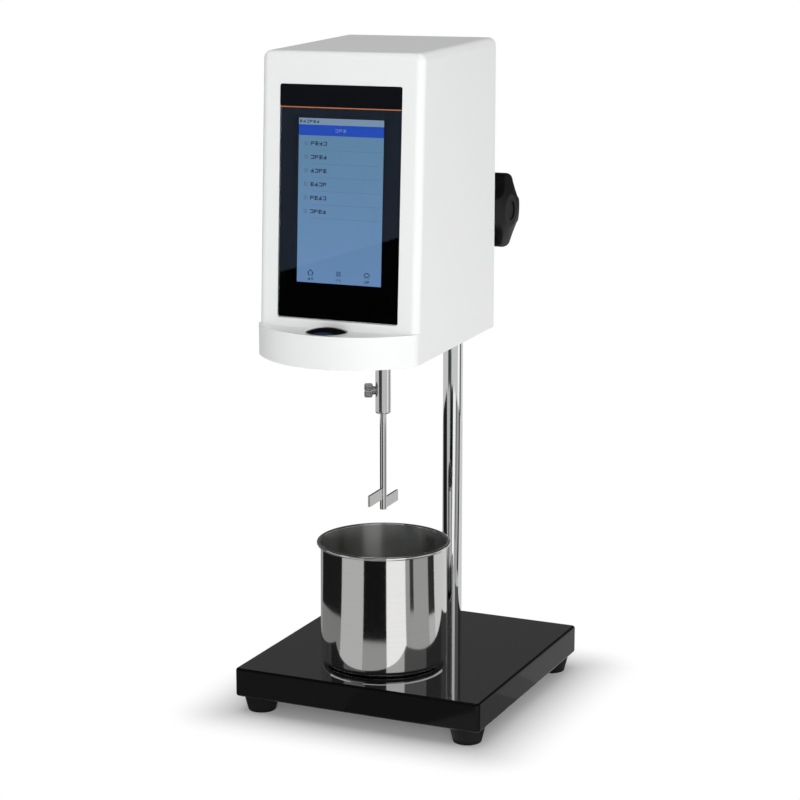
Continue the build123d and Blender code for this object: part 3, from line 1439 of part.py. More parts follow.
pieces = {
    "base_plate": base_plate,
    "feet": feet,
    "foot_screws": foot_screws,
    "column": column,
    "column_cap": column_cap,
    "column_bolt": column_bolt,
    "column_washer": column_washer,
    "rack": rack,
    "rack_screws": rack_screws,
    "sample_cup": sample_cup,
    "carriage": carriage,
    "guide_bushes": guide_bushes,
    "pinion_bushes": pinion_bushes,
    "brake_pad": brake_pad,
    "brake_springs": brake_springs,
    "brake_screw": brake_screw,
    "pinion_shaft": pinion_shaft,
    "lift_knob": lift_knob,
    "knob_screw": knob_screw,
    "knob_cap": knob_cap,
    "carriage_bolts": carriage_bolts,
    "head_shell": head_shell,
    "glass_panel": glass_panel,
    "display_module": display_module,
    "button_ring": button_ring,
    "button_cap": button_cap,
    "button_spring": button_spring,
    "button_switch": button_switch,
    "button_bracket": button_bracket,
    "bracket_screws": bracket_screws,
    "rear_panel": rear_panel,
    "panel_screws": panel_screws,
    "switch_frame": switch_frame,
    "switch_rocker": switch_rocker,
    "power_socket": power_socket,
    "data_port": data_port,
    "chassis": chassis,
    "bearing_housing": bearing_housing,
    "housing_screws": housing_screws,
    "bearing_outer_rings": bearing_outer_rings,
    "bearing_inner_rings": bearing_inner_rings,
    "bearing_balls": bearing_balls,
    "bearing_spacer": bearing_spacer,
    "spindle_shaft": spindle_shaft,
    "spindle_gear": spindle_gear,
    "encoder_disc": encoder_disc,
    "encoder_sensor": encoder_sensor,
    "motor": motor,
    "motor_screws": motor_screws,
    "motor_shaft": motor_shaft,
    "motor_gear": motor_gear,
    "coupling_collar": coupling_collar,
    "collar_set_screw": collar_set_screw,
    "thumbscrew": thumbscrew,
    "rotor_shaft": rotor_shaft,
    "paddle_blades": paddle_blades,
    "board_standoffs": board_standoffs,
    "main_board": main_board,
    "board_screws": board_screws,
    "power_module": power_module,
}

os.makedirs("parts", exist_ok=True)
for label, piece in pieces.items():
    piece.part.label = label
    export_step(piece.part, f"parts/{label}.step")
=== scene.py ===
import math

import bmesh
import bpy
from mathutils import Matrix, Vector


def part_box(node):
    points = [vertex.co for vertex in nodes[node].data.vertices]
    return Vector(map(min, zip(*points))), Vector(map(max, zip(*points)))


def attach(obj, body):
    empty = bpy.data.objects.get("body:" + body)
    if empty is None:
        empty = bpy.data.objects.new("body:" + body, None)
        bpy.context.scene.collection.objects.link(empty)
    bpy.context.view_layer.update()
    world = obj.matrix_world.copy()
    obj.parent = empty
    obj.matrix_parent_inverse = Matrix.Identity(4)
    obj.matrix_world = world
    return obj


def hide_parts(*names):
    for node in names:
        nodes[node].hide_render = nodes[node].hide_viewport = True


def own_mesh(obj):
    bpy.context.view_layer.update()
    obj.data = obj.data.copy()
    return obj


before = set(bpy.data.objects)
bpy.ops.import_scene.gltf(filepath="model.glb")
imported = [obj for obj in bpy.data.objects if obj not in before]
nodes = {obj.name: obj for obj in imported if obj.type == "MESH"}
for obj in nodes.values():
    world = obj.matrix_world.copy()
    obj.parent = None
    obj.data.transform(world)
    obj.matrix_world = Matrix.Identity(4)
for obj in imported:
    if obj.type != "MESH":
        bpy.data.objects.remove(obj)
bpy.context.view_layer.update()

# Base plate: a heavy steel slab with rounded edges, sprayed with black lacquer and polished
# to a mirror gloss. The one lacquer is split into two copies. A shaded copy with a weak reflection
# goes on the sides and rounded edges, and is painted shade. A lit copy with a stronger clear coat
# goes on the flat top, and its reflection is partly real and partly painted.


grain_detail = 3.0
relief_depth = 0.0002


def grained(name, colour, roughness, metallic=0.0, grain=800.0, along=(1.0, 1.0, 1.0), tone=0.12,
            spread=0.06, relief=0.02, coat=0.0, specular=0.5):
    """A finish whose tone, sheen and relief follow a fine grain measured on the piece itself."""
    material = bpy.data.materials.new(name)
    material.use_nodes = True
    tree = material.node_tree
    shader = tree.nodes["Principled BSDF"]
    shader.inputs["Metallic"].default_value = metallic
    shader.inputs["Coat Weight"].default_value = coat
    shader.inputs["Specular IOR Level"].default_value = specular
    place = tree.nodes.new("ShaderNodeTexCoord")
    mapping = tree.nodes.new("ShaderNodeMapping")
    mapping.inputs["Scale"].default_value = along
    noise = tree.nodes.new("ShaderNodeTexNoise")
    noise.inputs["Scale"].default_value = grain
    noise.inputs["Detail"].default_value = grain_detail
    shade = tree.nodes.new("ShaderNodeMix")
    shade.data_type = "RGBA"
    shade.inputs[6].default_value = [c * (1 - tone) for c in colour] + [1]
    shade.inputs[7].default_value = [min(1, c * (1 + tone)) for c in colour] + [1]
    sheen = tree.nodes.new("ShaderNodeMapRange")
    sheen.inputs["To Min"].default_value = max(0.0, roughness - spread)
    sheen.inputs["To Max"].default_value = min(1.0, roughness + spread)
    bump = tree.nodes.new("ShaderNodeBump")
    bump.inputs["Strength"].default_value = relief
    bump.inputs["Distance"].default_value = relief_depth
    link = tree.links.new
    link(place.outputs["Object"], mapping.inputs["Vector"])
    link(mapping.outputs["Vector"], noise.inputs["Vector"])
    link(noise.outputs["Fac"], shade.inputs[0])
    link(noise.outputs["Fac"], sheen.inputs["Value"])
    link(noise.outputs["Fac"], bump.inputs["Height"])
    link(shade.outputs[2], shader.inputs["Base Color"])
    link(sheen.outputs["Result"], shader.inputs["Roughness"])
    link(bump.outputs["Normal"], shader.inputs["Normal"])
    return material


def clothe(names, material):
    """Gives carried-over parts their finish."""
    for name in names:
        nodes[name].data.materials.clear()
        nodes[name].data.materials.append(material)


def placed(name, data):
    """An object in the scene that holds a mesh, a lamp or a camera."""
    made = bpy.data.objects.new(name, data)
    bpy.context.scene.collection.objects.link(made)
    return made


def frozen(piece):
    """The mesh that a piece's modifiers make."""
    graph = bpy.context.evaluated_depsgraph_get()
    return bpy.data.meshes.new_from_object(piece.evaluated_get(graph))


def evened(piece):
    """Gives large faces their true shading, and leaves the turn to the small edges."""
    weighting = piece.modifiers.new("weighting", "WEIGHTED_NORMAL")
    weighting.mode = "FACE_AREA"
    weighting.weight = 100
    weighting.keep_sharp = True
    mesh = frozen(piece)
    piece.modifiers.clear()
    piece.data = mesh


weld_distance = 2e-6


def surfaced(name, body, material, crease=30.0):
    """A welded copy of a machined part that stands for it, with its round faces shaded smooth."""
    form = bmesh.new()
    form.from_mesh(nodes[name].data)
    bmesh.ops.remove_doubles(form, verts=form.verts, dist=weld_distance)
    form.verts.index_update()
    points = [vert.co.copy() for vert in form.verts]
    faces = [[vert.index for vert in face.verts] for face in form.faces]
    form.free()
    mesh = bpy.data.meshes.new(name + "_surface")
    mesh.from_pydata(points, [], faces)
    mesh.polygons.foreach_set("use_smooth", [True] * len(mesh.polygons))
    mesh.set_sharp_from_angle(angle=math.radians(crease))
    mesh.materials.append(material)
    piece = placed(name + "_surface", mesh)
    evened(piece)
    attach(piece, body)
    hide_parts(name)
    return piece


# Painted shade and reflection: the sides' copy of the lacquer has its reflection turned down, and
# the top's copy has its clear coat turned up.
plate_shaded_edge = grained("plate_shaded_edge", (0.003, 0.003, 0.0032), 0.12, grain=140.0, spread=0.04,
                     relief=0.01, specular=0.12)
plate_lit_top = grained("plate_lit_top", (0.004, 0.004, 0.0042), 0.03, grain=120.0, spread=0.012,
                       relief=0.006, coat=1.0, specular=1.0)
plate_lit_top.node_tree.nodes["Principled BSDF"].inputs["Coat IOR"].default_value = 1.8
level_face = 0.999
base = surfaced("base_plate", "stand", plate_shaded_edge)
base.data.materials.append(plate_lit_top)
for face in base.data.polygons:
    if face.normal.z > level_face:
        face.material_index = 1

# Feet: four tapered feet moulded in black rubber, each screwed up into the plate from below.
foot_rubber = grained("foot_rubber", (0.004, 0.004, 0.0041), 0.72, grain=1400.0, tone=0.3,
                      spread=0.12, relief=0.12, specular=0.2)
surfaced("feet", "stand", foot_rubber)

# Column: a drawn and ground steel bar with bright chrome plate, slotted at the back for the rack,
# with a turned black cap pressed in at its top and a bolt and washer below the plate.
bright_chrome = grained("bright_chrome", (0.86, 0.865, 0.87), 0.045, metallic=1.0, grain=500.0,
                        along=(1.0, 1.0, 0.02), tone=0.03, spread=0.02, relief=0.006)
cap_black = grained("cap_black", (0.012, 0.012, 0.012), 0.42, grain=1200.0, tone=0.2, relief=0.05)
surfaced("column", "stand", bright_chrome)
surfaced("column_cap", "stand", cap_black)

# Rack and screws: a milled steel rack let into the column's slot, and zinc-plated socket screws
# that show the dull, slightly yellow bloom of the plating.
milled_steel = grained("milled_steel", (0.42, 0.42, 0.43), 0.34, metallic=1.0, grain=260.0,
                       along=(1.0, 1.0, 9.0), tone=0.15, spread=0.1, relief=0.06)
zinc_plate = grained("zinc_plate", (0.55, 0.55, 0.53), 0.3, metallic=1.0, grain=900.0, tone=0.1,
                     spread=0.1, relief=0.05)
surfaced("rack", "stand", milled_steel, crease=12.0)
clothe(["rack_screws", "foot_screws", "column_bolt", "column_washer", "carriage_bolts",
        "knob_screw", "bracket_screws", "panel_screws", "housing_screws", "motor_screws",
        "board_screws", "collar_set_screw", "brake_screw"], zinc_plate)

# Sample cup: a deep-drawn stainless beaker with a rolled rim, polished outside and brushed round
# its inside. It stands loose on the plate.
cup_low, cup_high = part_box("sample_cup")
cup_rim_radius = (cup_high.x - cup_low.x) / 2
cup_axis = Vector(((cup_low.x + cup_high.x) / 2, (cup_low.y + cup_high.y) / 2, cup_low.z))
cup_height = cup_high.z - cup_low.z
cup_radius = 0.0458
cup_wall = 0.0009
cup_bead = cup_rim_radius - cup_radius + cup_wall / 2
cup_corner = 0.005
cup_segments = 192


def turned(name, outline, centre, segments, material, crease=35.0):
    """A closed outline of radius and height pairs, spun about an upright line."""
    points = []
    faces = []
    count = len(outline)
    for step in range(segments):
        angle = 2 * math.pi * step / segments
        for radius, height in outline:
            spoke = Vector((radius * math.cos(angle), radius * math.sin(angle), height))
            points.append(centre + spoke)
    for step in range(segments):
        here = step * count
        there = (step + 1) % segments * count
        for row in range(count):
            after = (row + 1) % count
            faces.append((here + row, there + row, there + after, here + after))
    mesh = bpy.data.meshes.new(name)
    mesh.from_pydata(points, [], faces)
    form = bmesh.new()
    form.from_mesh(mesh)
    bmesh.ops.remove_doubles(form, verts=form.verts, dist=1e-6)
    bmesh.ops.dissolve_degenerate(form, edges=form.edges, dist=1e-7)
    bmesh.ops.recalc_face_normals(form, faces=form.faces)
    form.to_mesh(mesh)
    form.free()
    mesh.polygons.foreach_set("use_smooth", [True] * len(mesh.polygons))
    mesh.set_sharp_from_angle(angle=math.radians(crease))
    mesh.materials.append(material)
    piece = placed(name, mesh)
    evened(piece)
    return piece


def arc(centre, radius, start, end, steps):
    """Points along an arc, from one angle to another in degrees."""
    angles = [math.radians(start + (end - start) * step / steps) for step in range(steps + 1)]
    return [(centre[0] + radius * math.cos(a), centre[1] + radius * math.sin(a)) for a in angles]


cup_outline = [(0.0, 0.0)]
cup_outline += arc((cup_radius - cup_corner, cup_corner), cup_corner, -90, 0, 10)
bead_centre = (cup_radius + cup_bead / 2 - cup_wall / 2, cup_height - cup_bead / 2)
cup_outline += arc(bead_centre, cup_bead / 2, -165, 165, 22)
cup_outline += arc((cup_radius - cup_corner, cup_corner), cup_corner - cup_wall, 0, -90, 10)
cup_outline += [(0.0, cup_wall)]
polished_steel = grained("polished_steel", (0.79, 0.785, 0.775), 0.07, metallic=1.0, grain=220.0,
                         along=(0.05, 0.05, 6.0), tone=0.04, spread=0.03, relief=0.01)
brushed_steel = grained("brushed_steel", (0.72, 0.715, 0.705), 0.4, metallic=1.0, grain=260.0,
                        along=(0.05, 0.05, 8.0), tone=0.05, spread=0.06, relief=0.03)
brushed_shader = brushed_steel.node_tree.nodes["Principled BSDF"]
brushed_shader.inputs["Anisotropic"].default_value = 1.0
brushed_shader.inputs["Anisotropic Rotation"].default_value = 0.25
brushing = brushed_steel.node_tree.nodes.new("ShaderNodeTangent")
brushing.direction_type = "RADIAL"
brushing.axis = "Z"
brushed_steel.node_tree.links.new(brushing.outputs["Tangent"], brushed_shader.inputs["Tangent"])
cup = turned("cup_beaker", cup_outline, cup_axis, cup_segments, polished_steel)
cup.data.materials.append(brushed_steel)
for face in cup.data.polygons:
    outward = face.center - cup_axis
    height = outward.z
    outward.z = 0.0
    inside = face.normal.dot(outward) < 0 or (face.normal.z > 0.9 and height < cup_corner)
    if inside and height < cup_height - cup_bead:
        face.material_index = 1
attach(cup, "cup")
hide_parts("sample_cup")

# Carriage: an iron casting with an arm and a flange, powder coated black, on pressed-in acetal
# bushes, with its brake of a pad, disc springs and a set screw.
black_powder = grained("black_powder", (0.014, 0.014, 0.0145), 0.5, grain=1700.0, tone=0.25,
                       spread=0.1, relief=0.22)
cream_acetal = grained("cream_acetal", (0.72, 0.7, 0.63), 0.4, grain=500.0, tone=0.05, relief=0.02)
spring_steel = grained("spring_steel", (0.4, 0.4, 0.41), 0.25, metallic=1.0, grain=700.0, tone=0.1,
                       relief=0.03)
surfaced("carriage", "head", black_powder)
clothe(["guide_bushes", "pinion_bushes", "brake_pad"], cream_acetal)
clothe(["brake_springs"], spring_steel)

# Lifting knob: a four-lobed grip moulded in black phenolic, its hub closed by a matt cap pressed
# in over the screw that holds it to the pinion's ground steel shaft.
phenolic = grained("phenolic", (0.004, 0.004, 0.0038), 0.42, grain=1100.0, tone=0.25, spread=0.08,
                   relief=0.1, specular=0.18)
cap_matt = grained("cap_matt", (0.006, 0.006, 0.006), 0.65, grain=1600.0, tone=0.25, relief=0.12)
ground_steel = grained("ground_steel", (0.6, 0.6, 0.61), 0.18, metallic=1.0, grain=600.0,
                       along=(0.1, 1.0, 1.0), tone=0.06, spread=0.05, relief=0.02)
surfaced("lift_knob", "knob", phenolic, crease=45.0)
surfaced("knob_cap", "knob", cap_matt)
clothe(["pinion_shaft", "bearing_outer_rings", "bearing_inner_rings", "bearing_balls",
        "spindle_shaft", "motor_shaft"], ground_steel)

# Head shell: one white moulding with a round chin and a scooped shelf, spray finished to a soft
# satin with the faint ripple of paint.
white_satin = grained("white_satin", (0.875, 0.885, 0.88), 0.34, grain=260.0, tone=0.006,
                      spread=0.04, relief=0.012)
shell_detail = white_satin.node_tree
fine = shell_detail.nodes.new("ShaderNodeTexNoise")
fine.inputs["Scale"].default_value = 2200.0
fine_bump = shell_detail.nodes.new("ShaderNodeBump")
fine_bump.inputs["Strength"].default_value = 0.03
fine_bump.inputs["Distance"].default_value = 0.0001
shell_place = next(node for node in shell_detail.nodes if node.type == "TEX_COORD")
shell_ripple = next(node for node in shell_detail.nodes
                    if node.type == "BUMP" and node != fine_bump)
shell_normal = shell_detail.nodes["Principled BSDF"].inputs["Normal"]
shell_detail.links.new(shell_place.outputs["Object"], fine.inputs["Vector"])
shell_detail.links.new(fine.outputs["Fac"], fine_bump.inputs["Height"])
shell_detail.links.new(shell_ripple.outputs["Normal"], fine_bump.inputs["Normal"])
shell_detail.links.new(fine_bump.outputs["Normal"], shell_normal)
surfaced("head_shell", "head", white_satin)

# Display front: a sheet of clear glass over a black printed surround, with a plain black strip
# above it and a thin orange joint line between the two.
face_lean = math.radians(3.04)
glass_low, glass_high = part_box("glass_panel")
face_centre = Vector((0.0, 0.0, (glass_low.z + glass_high.z) / 2))
glass_half_width = (glass_high.x - glass_low.x) / 2
glass_thick = 0.00159
glass_sink = glass_thick * math.sin(face_lean)
glass_half_height = ((glass_high.z - glass_low.z) - glass_sink) / 2 / math.cos(face_lean)
face_centre.z = glass_low.z + glass_sink + glass_half_height * math.cos(face_lean)
face_centre.y = glass_low.y + glass_half_height * math.sin(face_lean)
rise = Vector((0.0, math.sin(face_lean), math.cos(face_lean)))
inward = Vector((0.0, math.cos(face_lean), -math.sin(face_lean)))


def on_face(across, up, depth):
    """A place on the leaning front, by its distances across, up and behind the glass's face."""
    return face_centre + Vector((across, 0.0, 0.0)) + rise * up + inward * depth


def slab(outline, front, back, holes=()):
    """Points and faces of a flat plate on the leaning front, with its openings left free."""
    form = bmesh.new()
    loops = []
    for ring in [outline, *holes]:
        verts = [form.verts.new(on_face(x, y, front)) for x, y in ring]
        loops.append(verts)
        for first, second in zip(verts, verts[1:] + verts[:1]):
            form.edges.new((first, second))
    face = bmesh.ops.triangle_fill(form, edges=form.edges, use_beauty=True)
    flat = [item for item in face["geom"] if isinstance(item, bmesh.types.BMFace)]
    made = bmesh.ops.extrude_face_region(form, geom=flat)
    moved = [item for item in made["geom"] if isinstance(item, bmesh.types.BMVert)]
    bmesh.ops.translate(form, verts=moved, vec=inward * (back - front))
    bmesh.ops.recalc_face_normals(form, faces=form.faces)
    return form


def rounded(width, height, radius, across=0.0, up=0.0, steps=6):
    """The outline of a rectangle with round corners about a place on the front."""
    outline = []
    for x, y, start in ((1, 1, 0), (-1, 1, 90), (-1, -1, 180), (1, -1, 270)):
        corner = (across + x * (width / 2 - radius), up + y * (height / 2 - radius))
        outline += arc(corner, radius, start, start + 90, steps)
    return outline


def plate(name, forms, body, material):
    """One piece from one or several flat plates."""
    mesh = bpy.data.meshes.new(name)
    whole = bmesh.new()
    for form in forms:
        part = bpy.data.meshes.new(name + "_part")
        form.to_mesh(part)
        form.free()
        whole.from_mesh(part)
        bpy.data.meshes.remove(part)
    whole.to_mesh(mesh)
    whole.free()
    mesh.materials.append(material)
    piece = placed(name, mesh)
    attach(piece, body)
    return piece


strip_low = 0.0634
joint_height = 0.0006
glass_top = strip_low - joint_height
clear_height = glass_top + glass_half_height
clear_middle = (glass_top - glass_half_height) / 2
strip_height = glass_half_height - strip_low
strip_middle = (glass_half_height + strip_low) / 2
corner_round = 0.0015
glass_back = 0.0014

clear_glass = grained("clear_glass", (0.94, 0.965, 0.975), 0.01, grain=60.0, tone=0.01,
                      spread=0.008, relief=0.0)
glass_shader = clear_glass.node_tree.nodes["Principled BSDF"]
glass_shader.inputs["Transmission Weight"].default_value = 1.0
glass_shader.inputs["IOR"].default_value = 1.48
glass_outline = rounded(glass_half_width * 2, clear_height, corner_round, 0.0, clear_middle)
front_glass = plate("front_glass", [slab(glass_outline, 0.0, glass_back)], "head",
                    clear_glass)
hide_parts("glass_panel")

strip_black = grained("strip_black", (0.0035, 0.004, 0.005), 0.12, grain=300.0, tone=0.2,
                      spread=0.03, relief=0.01, specular=0.12)
strip_outline = rounded(glass_half_width * 2, strip_height, corner_round, 0.0, strip_middle)
plate("panel_strip", [slab(strip_outline, 0.0, glass_thick)], "head", strip_black)

orange_paint = grained("orange_paint", (0.62, 0.2, 0.07), 0.35, grain=400.0, tone=0.15, relief=0.02)
joint_middle = (glass_top + strip_low) / 2
joint_inset = 0.0012
joint_sink = 0.00005
joint_outline = rounded(glass_half_width * 2 - joint_inset, joint_height, 0.0002, 0.0, joint_middle)
plate("joint_line", [slab(joint_outline, joint_sink, glass_thick)], "head",
      orange_paint)

# Printed surround: the black ink on the back of the glass, with a foam gasket behind it that
# seals the glass to the display.
screen_width = 0.0629
screen_height = 0.1095
screen_up = 0.0012
screen_depth = 0.0029
window_play = 0.0002
print_inset = 0.001
print_black = grained("print_black", (0.001, 0.0012, 0.0016), 0.6, grain=500.0, tone=0.2,
                      relief=0.02, specular=0.0)
window = rounded(screen_width + window_play, screen_height + window_play, 0.0002, 0.0, screen_up, 2)
print_outline = rounded(glass_half_width * 2, glass_half_height * 2 - print_inset, corner_round)
surround = slab(print_outline, glass_back, glass_thick, [window])
gasket_outer = rounded(screen_width + 2 * window_play, screen_height + 2 * window_play, 0.0002, 0.0,
                       screen_up, 2)
gasket = slab(gasket_outer, glass_thick, screen_depth + window_play, [window])
plate("glass_print", [surround, gasket], "head", print_black)

# Display picture: what the lit screen shows, in generic marks: a status strip, a title bar, a
# list of six rows and three symbols along the bottom. Each mark is a thin plate on a layer.
layer_step = 0.00004
mark_thick = 0.00003
cell_scale = 45.0
cell_share = 0.35


def lit(name, low_colour, high_colour, strength=1.0):
    """A lit surface whose colour changes from the bottom of the screen to its top."""
    material = bpy.data.materials.new(name)
    material.use_nodes = True
    tree = material.node_tree
    shader = tree.nodes["Principled BSDF"]
    shader.inputs["Specular IOR Level"].default_value = 0.0
    shader.inputs["Base Color"].default_value = (0.004, 0.004, 0.005, 1)
    shader.inputs["Emission Strength"].default_value = strength
    place = tree.nodes.new("ShaderNodeTexCoord")
    split = tree.nodes.new("ShaderNodeSeparateXYZ")
    height = tree.nodes.new("ShaderNodeMapRange")
    height.inputs["From Min"].default_value = on_face(0, -screen_height / 2, 0).z
    height.inputs["From Max"].default_value = on_face(0, screen_height / 2, 0).z
    cells = tree.nodes.new("ShaderNodeTexNoise")
    cells.inputs["Scale"].default_value = cell_scale
    mixed = tree.nodes.new("ShaderNodeMath")
    mixed.operation = "MULTIPLY_ADD"
    mixed.inputs[1].default_value = cell_share
    shade = tree.nodes.new("ShaderNodeMix")
    shade.data_type = "RGBA"
    shade.inputs[6].default_value = (*low_colour, 1)
    shade.inputs[7].default_value = (*high_colour, 1)
    link = tree.links.new
    link(place.outputs["Object"], split.inputs["Vector"])
    link(place.outputs["Object"], cells.inputs["Vector"])
    link(split.outputs["Z"], height.inputs["Value"])
    link(cells.outputs["Fac"], mixed.inputs[0])
    link(height.outputs["Result"], mixed.inputs[2])
    link(mixed.outputs["Value"], shade.inputs[0])
    link(shade.outputs[2], shader.inputs["Emission Color"])
    return material


def on_layer(outline, layer, holes=()):
    """A thin plate lying on the screen, on one of its layers."""
    front = screen_depth - layer_step * layer
    return slab(outline, front, front + mark_thick, holes)


def bar(across, up, width, height, layer, radius=0.0001):
    """A thin bar with slightly round corners, on one of the screen's layers."""
    corner = min(radius, height / 2.1, width / 2.1)
    return on_layer(rounded(width, height, corner, across, up, 2), layer)


screen_left = -screen_width / 2
screen_top = screen_up + screen_height / 2
screen_bottom = screen_up - screen_height / 2
list_lit = lit("list_lit", (0.15, 0.27, 0.5), (0.115, 0.235, 0.37))
status_lit = lit("status_lit", (0.14, 0.23, 0.36), (0.2, 0.29, 0.4))
title_lit = lit("title_lit", (0.006, 0.045, 0.34), (0.008, 0.06, 0.45))
mark_dark = lit("mark_dark", (0.01, 0.02, 0.05), (0.012, 0.022, 0.05))
mark_grey = lit("mark_grey", (0.07, 0.14, 0.26), (0.07, 0.13, 0.22))
mark_light = lit("mark_light", (0.12, 0.2, 0.5), (0.14, 0.22, 0.5))
plate("screen_list", [bar(0.0, screen_up, screen_width, screen_height, 0)], "head",
      list_lit)
status_height = 0.0043
title_height = 0.0071
status_middle = screen_top - status_height / 2
title_middle = screen_top - status_height - title_height / 2
plate("screen_status", [bar(0.0, status_middle, screen_width, status_height, 1)], "head",
      status_lit)
plate("screen_title", [bar(0.0, title_middle, screen_width, title_height, 1)], "head",
      title_lit)


def block_marks(across, up, count, size, gap, layer, seed):
    """A row of small square marks, each of a few strokes, that stands where words would be."""
    forms = []
    for place in range(count):
        left = across + place * (size + gap)
        kind = (seed * 3 + place * 5) % 4
        stroke = size / 4.4
        for level in range(3):
            if (kind + level) % 4:
                forms.append(bar(left, up + (level - 1) * size * 0.38, size, stroke, layer))
        side = (kind - 1.5) / 1.5 * size * 0.4
        forms.append(bar(left + side, up, stroke, size, layer + 1))
    return forms


row_count = 6
row_pitch = 0.00904
first_row = screen_top - 0.0166
text_left = screen_left + 0.0104
icon_middle = screen_left + 0.0056
icon_size, icon_hole = 0.0026, 0.0019
needle_width, needle_height = 0.0004, 0.0012
divider_middle, divider_inset, divider_height = 0.004, 0.012, 0.00013
row_marks = []
icon_marks = []
divider_marks = []
for row in range(row_count):
    height = first_row - row * row_pitch
    row_marks += block_marks(text_left, height, 4, 0.0026, 0.0005, 2, row)
    ring = rounded(icon_size, icon_size, 0.0012, icon_middle, height, 6)
    inner = rounded(icon_hole, icon_hole, 0.0009, icon_middle, height, 6)
    icon_marks.append(on_layer(ring, 2, [inner]))
    needle_middle = icon_middle + (row % 3 - 1) * needle_width
    icon_marks.append(bar(needle_middle, height, needle_width, needle_height, 2))
    divider_marks.append(bar(divider_middle, height - row_pitch / 2, screen_width - divider_inset,
                             divider_height, 1))
plate("screen_rows", row_marks, "head", mark_dark)
plate("screen_icons", icon_marks, "head", mark_grey)
plate("screen_dividers", divider_marks, "head", mark_grey)
plate("screen_status_marks",
      block_marks(screen_left + 0.0016, status_middle, 6, 0.0019, 0.0006, 2, 3),
      "head", mark_dark)
plate("screen_title_marks", block_marks(-0.0034, title_middle, 3, 0.0021, 0.0008, 2, 1), "head",
      mark_light)

# Symbols along the bottom of the screen, which is still part of the display's picture: a gable,
# four squares and an arch over an arrow, each with a short caption.
symbol_up = screen_bottom + 0.0068
caption_up = screen_bottom + 0.0025


def stroke(points, width, layer):
    """Short bars joined end to end along a path on the screen."""
    forms = []
    for (x0, y0), (x1, y1) in zip(points, points[1:]):
        length = math.hypot(x1 - x0, y1 - y0)
        dx, dy = (x1 - x0) / length * width / 2, (y1 - y0) / length * width / 2
        outline = [(x0 - dx - dy, y0 - dy + dx), (x0 - dx + dy, y0 - dy - dx),
                   (x1 + dx + dy, y1 + dy - dx), (x1 + dx - dy, y1 + dy + dx)]
        forms.append(on_layer(outline, layer))
    return forms


gable_x, grid_x, arch_x = -0.0213, -0.0004, 0.0204
line = 0.0005
gable = [(-0.002, -0.0002), (0.0, 0.0018), (0.002, -0.0002)]
walls = [(-0.0015, 0.0), (-0.0015, -0.0018), (-0.0005, -0.0018)]
walls_right = [(0.0015, 0.0), (0.0015, -0.0018), (0.0006, -0.0018)]
symbol_forms = []
for path in (gable, walls, walls_right):
    symbol_forms += stroke([(gable_x + x, symbol_up + y) for x, y in path], line, 2)
arch = arc((arch_x, symbol_up - 0.0002), 0.0019, -10, 190, 12)
symbol_forms += stroke(arch, line, 2)
arms = [(-0.0012, -0.0016), (0.0, -0.0004), (0.0012, -0.0016)]
symbol_forms += stroke([(arch_x + x, symbol_up + y) for x, y in arms], line, 2)
grid_step = 0.0009
square_size, square_hole = 0.0014, 0.0007
for dx in (-grid_step, grid_step):
    for dy in (-grid_step, grid_step):
        square = rounded(square_size, square_size, 0.0005, grid_x + dx, symbol_up + dy, 4)
        hollow = rounded(square_hole, square_hole, 0.00025, grid_x + dx, symbol_up + dy, 4)
        symbol_forms.append(on_layer(square, 2, [hollow]))
symbol_forms += block_marks(gable_x - 0.001, caption_up, 2, 0.0016, 0.0005, 2, 2)
symbol_forms += block_marks(arch_x - 0.001, caption_up, 2, 0.0016, 0.0005, 2, 5)
plate("screen_symbols", symbol_forms, "head", mark_dark)
plate("screen_caption", block_marks(grid_x - 0.001, caption_up, 2, 0.0015, 0.0005, 2, 4), "head",
      mark_grey)
case_dark = grained("case_dark", (0.012, 0.013, 0.016), 0.5, grain=700.0, tone=0.2, relief=0.05)
clothe(["display_module", "glass_panel"], case_dark)

# Button: a polished black cap that slides in a turned bright ring, over a switch on a folded
# steel bracket and a spring.
button_gloss = grained("button_gloss", (0.004, 0.004, 0.0045), 0.06, grain=200.0, tone=0.2,
                       spread=0.02, relief=0.008, coat=0.3)
ring_bright = grained("ring_bright", (0.82, 0.82, 0.83), 0.12, metallic=1.0, grain=400.0,
                      tone=0.04, spread=0.03, relief=0.01)
switch_black = grained("switch_black", (0.014, 0.014, 0.014), 0.45, grain=1300.0, tone=0.2,
                       relief=0.1)
sheet_zinc = grained("sheet_zinc", (0.5, 0.5, 0.5), 0.36, metallic=1.0, grain=120.0, tone=0.14,
                     spread=0.12, relief=0.03)
surfaced("button_cap", "button", button_gloss, crease=50.0)
surfaced("button_ring", "head", ring_bright, crease=50.0)
clothe(["button_switch", "switch_frame", "switch_rocker", "power_socket", "encoder_sensor"],
       switch_black)
clothe(["button_bracket"], sheet_zinc)
spring = surfaced("button_spring", "head", spring_steel)
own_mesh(spring)

# Rear panel: a folded steel sheet let into the back of the shell, powder coated pale grey, with
# vent slots and the cut-outs for a switch, a power socket and a data socket.
grey_powder = grained("grey_powder", (0.72, 0.725, 0.72), 0.5, grain=1500.0, tone=0.03, spread=0.08,
                      relief=0.15)
tinned_steel = grained("tinned_steel", (0.5, 0.5, 0.5), 0.28, metallic=1.0, grain=800.0, tone=0.08,
                       relief=0.03)
clothe(["rear_panel"], grey_powder)
clothe(["data_port"], tinned_steel)

# Chassis and bearing housing: milled and turned aluminium, left bare, with the fine marks of the
# tools that cut them.
bare_aluminium = grained("bare_aluminium", (0.62, 0.63, 0.64), 0.32, metallic=1.0, grain=380.0,
                         along=(1.0, 0.1, 1.0), tone=0.07, spread=0.08, relief=0.05)
turned_aluminium = grained("turned_aluminium", (0.68, 0.68, 0.69), 0.26, metallic=1.0, grain=700.0,
                           along=(0.1, 0.1, 3.0), tone=0.06, spread=0.07, relief=0.05)
clothe(["chassis"], bare_aluminium)
clothe(["bearing_spacer"], turned_aluminium)
surfaced("bearing_housing", "head", turned_aluminium)

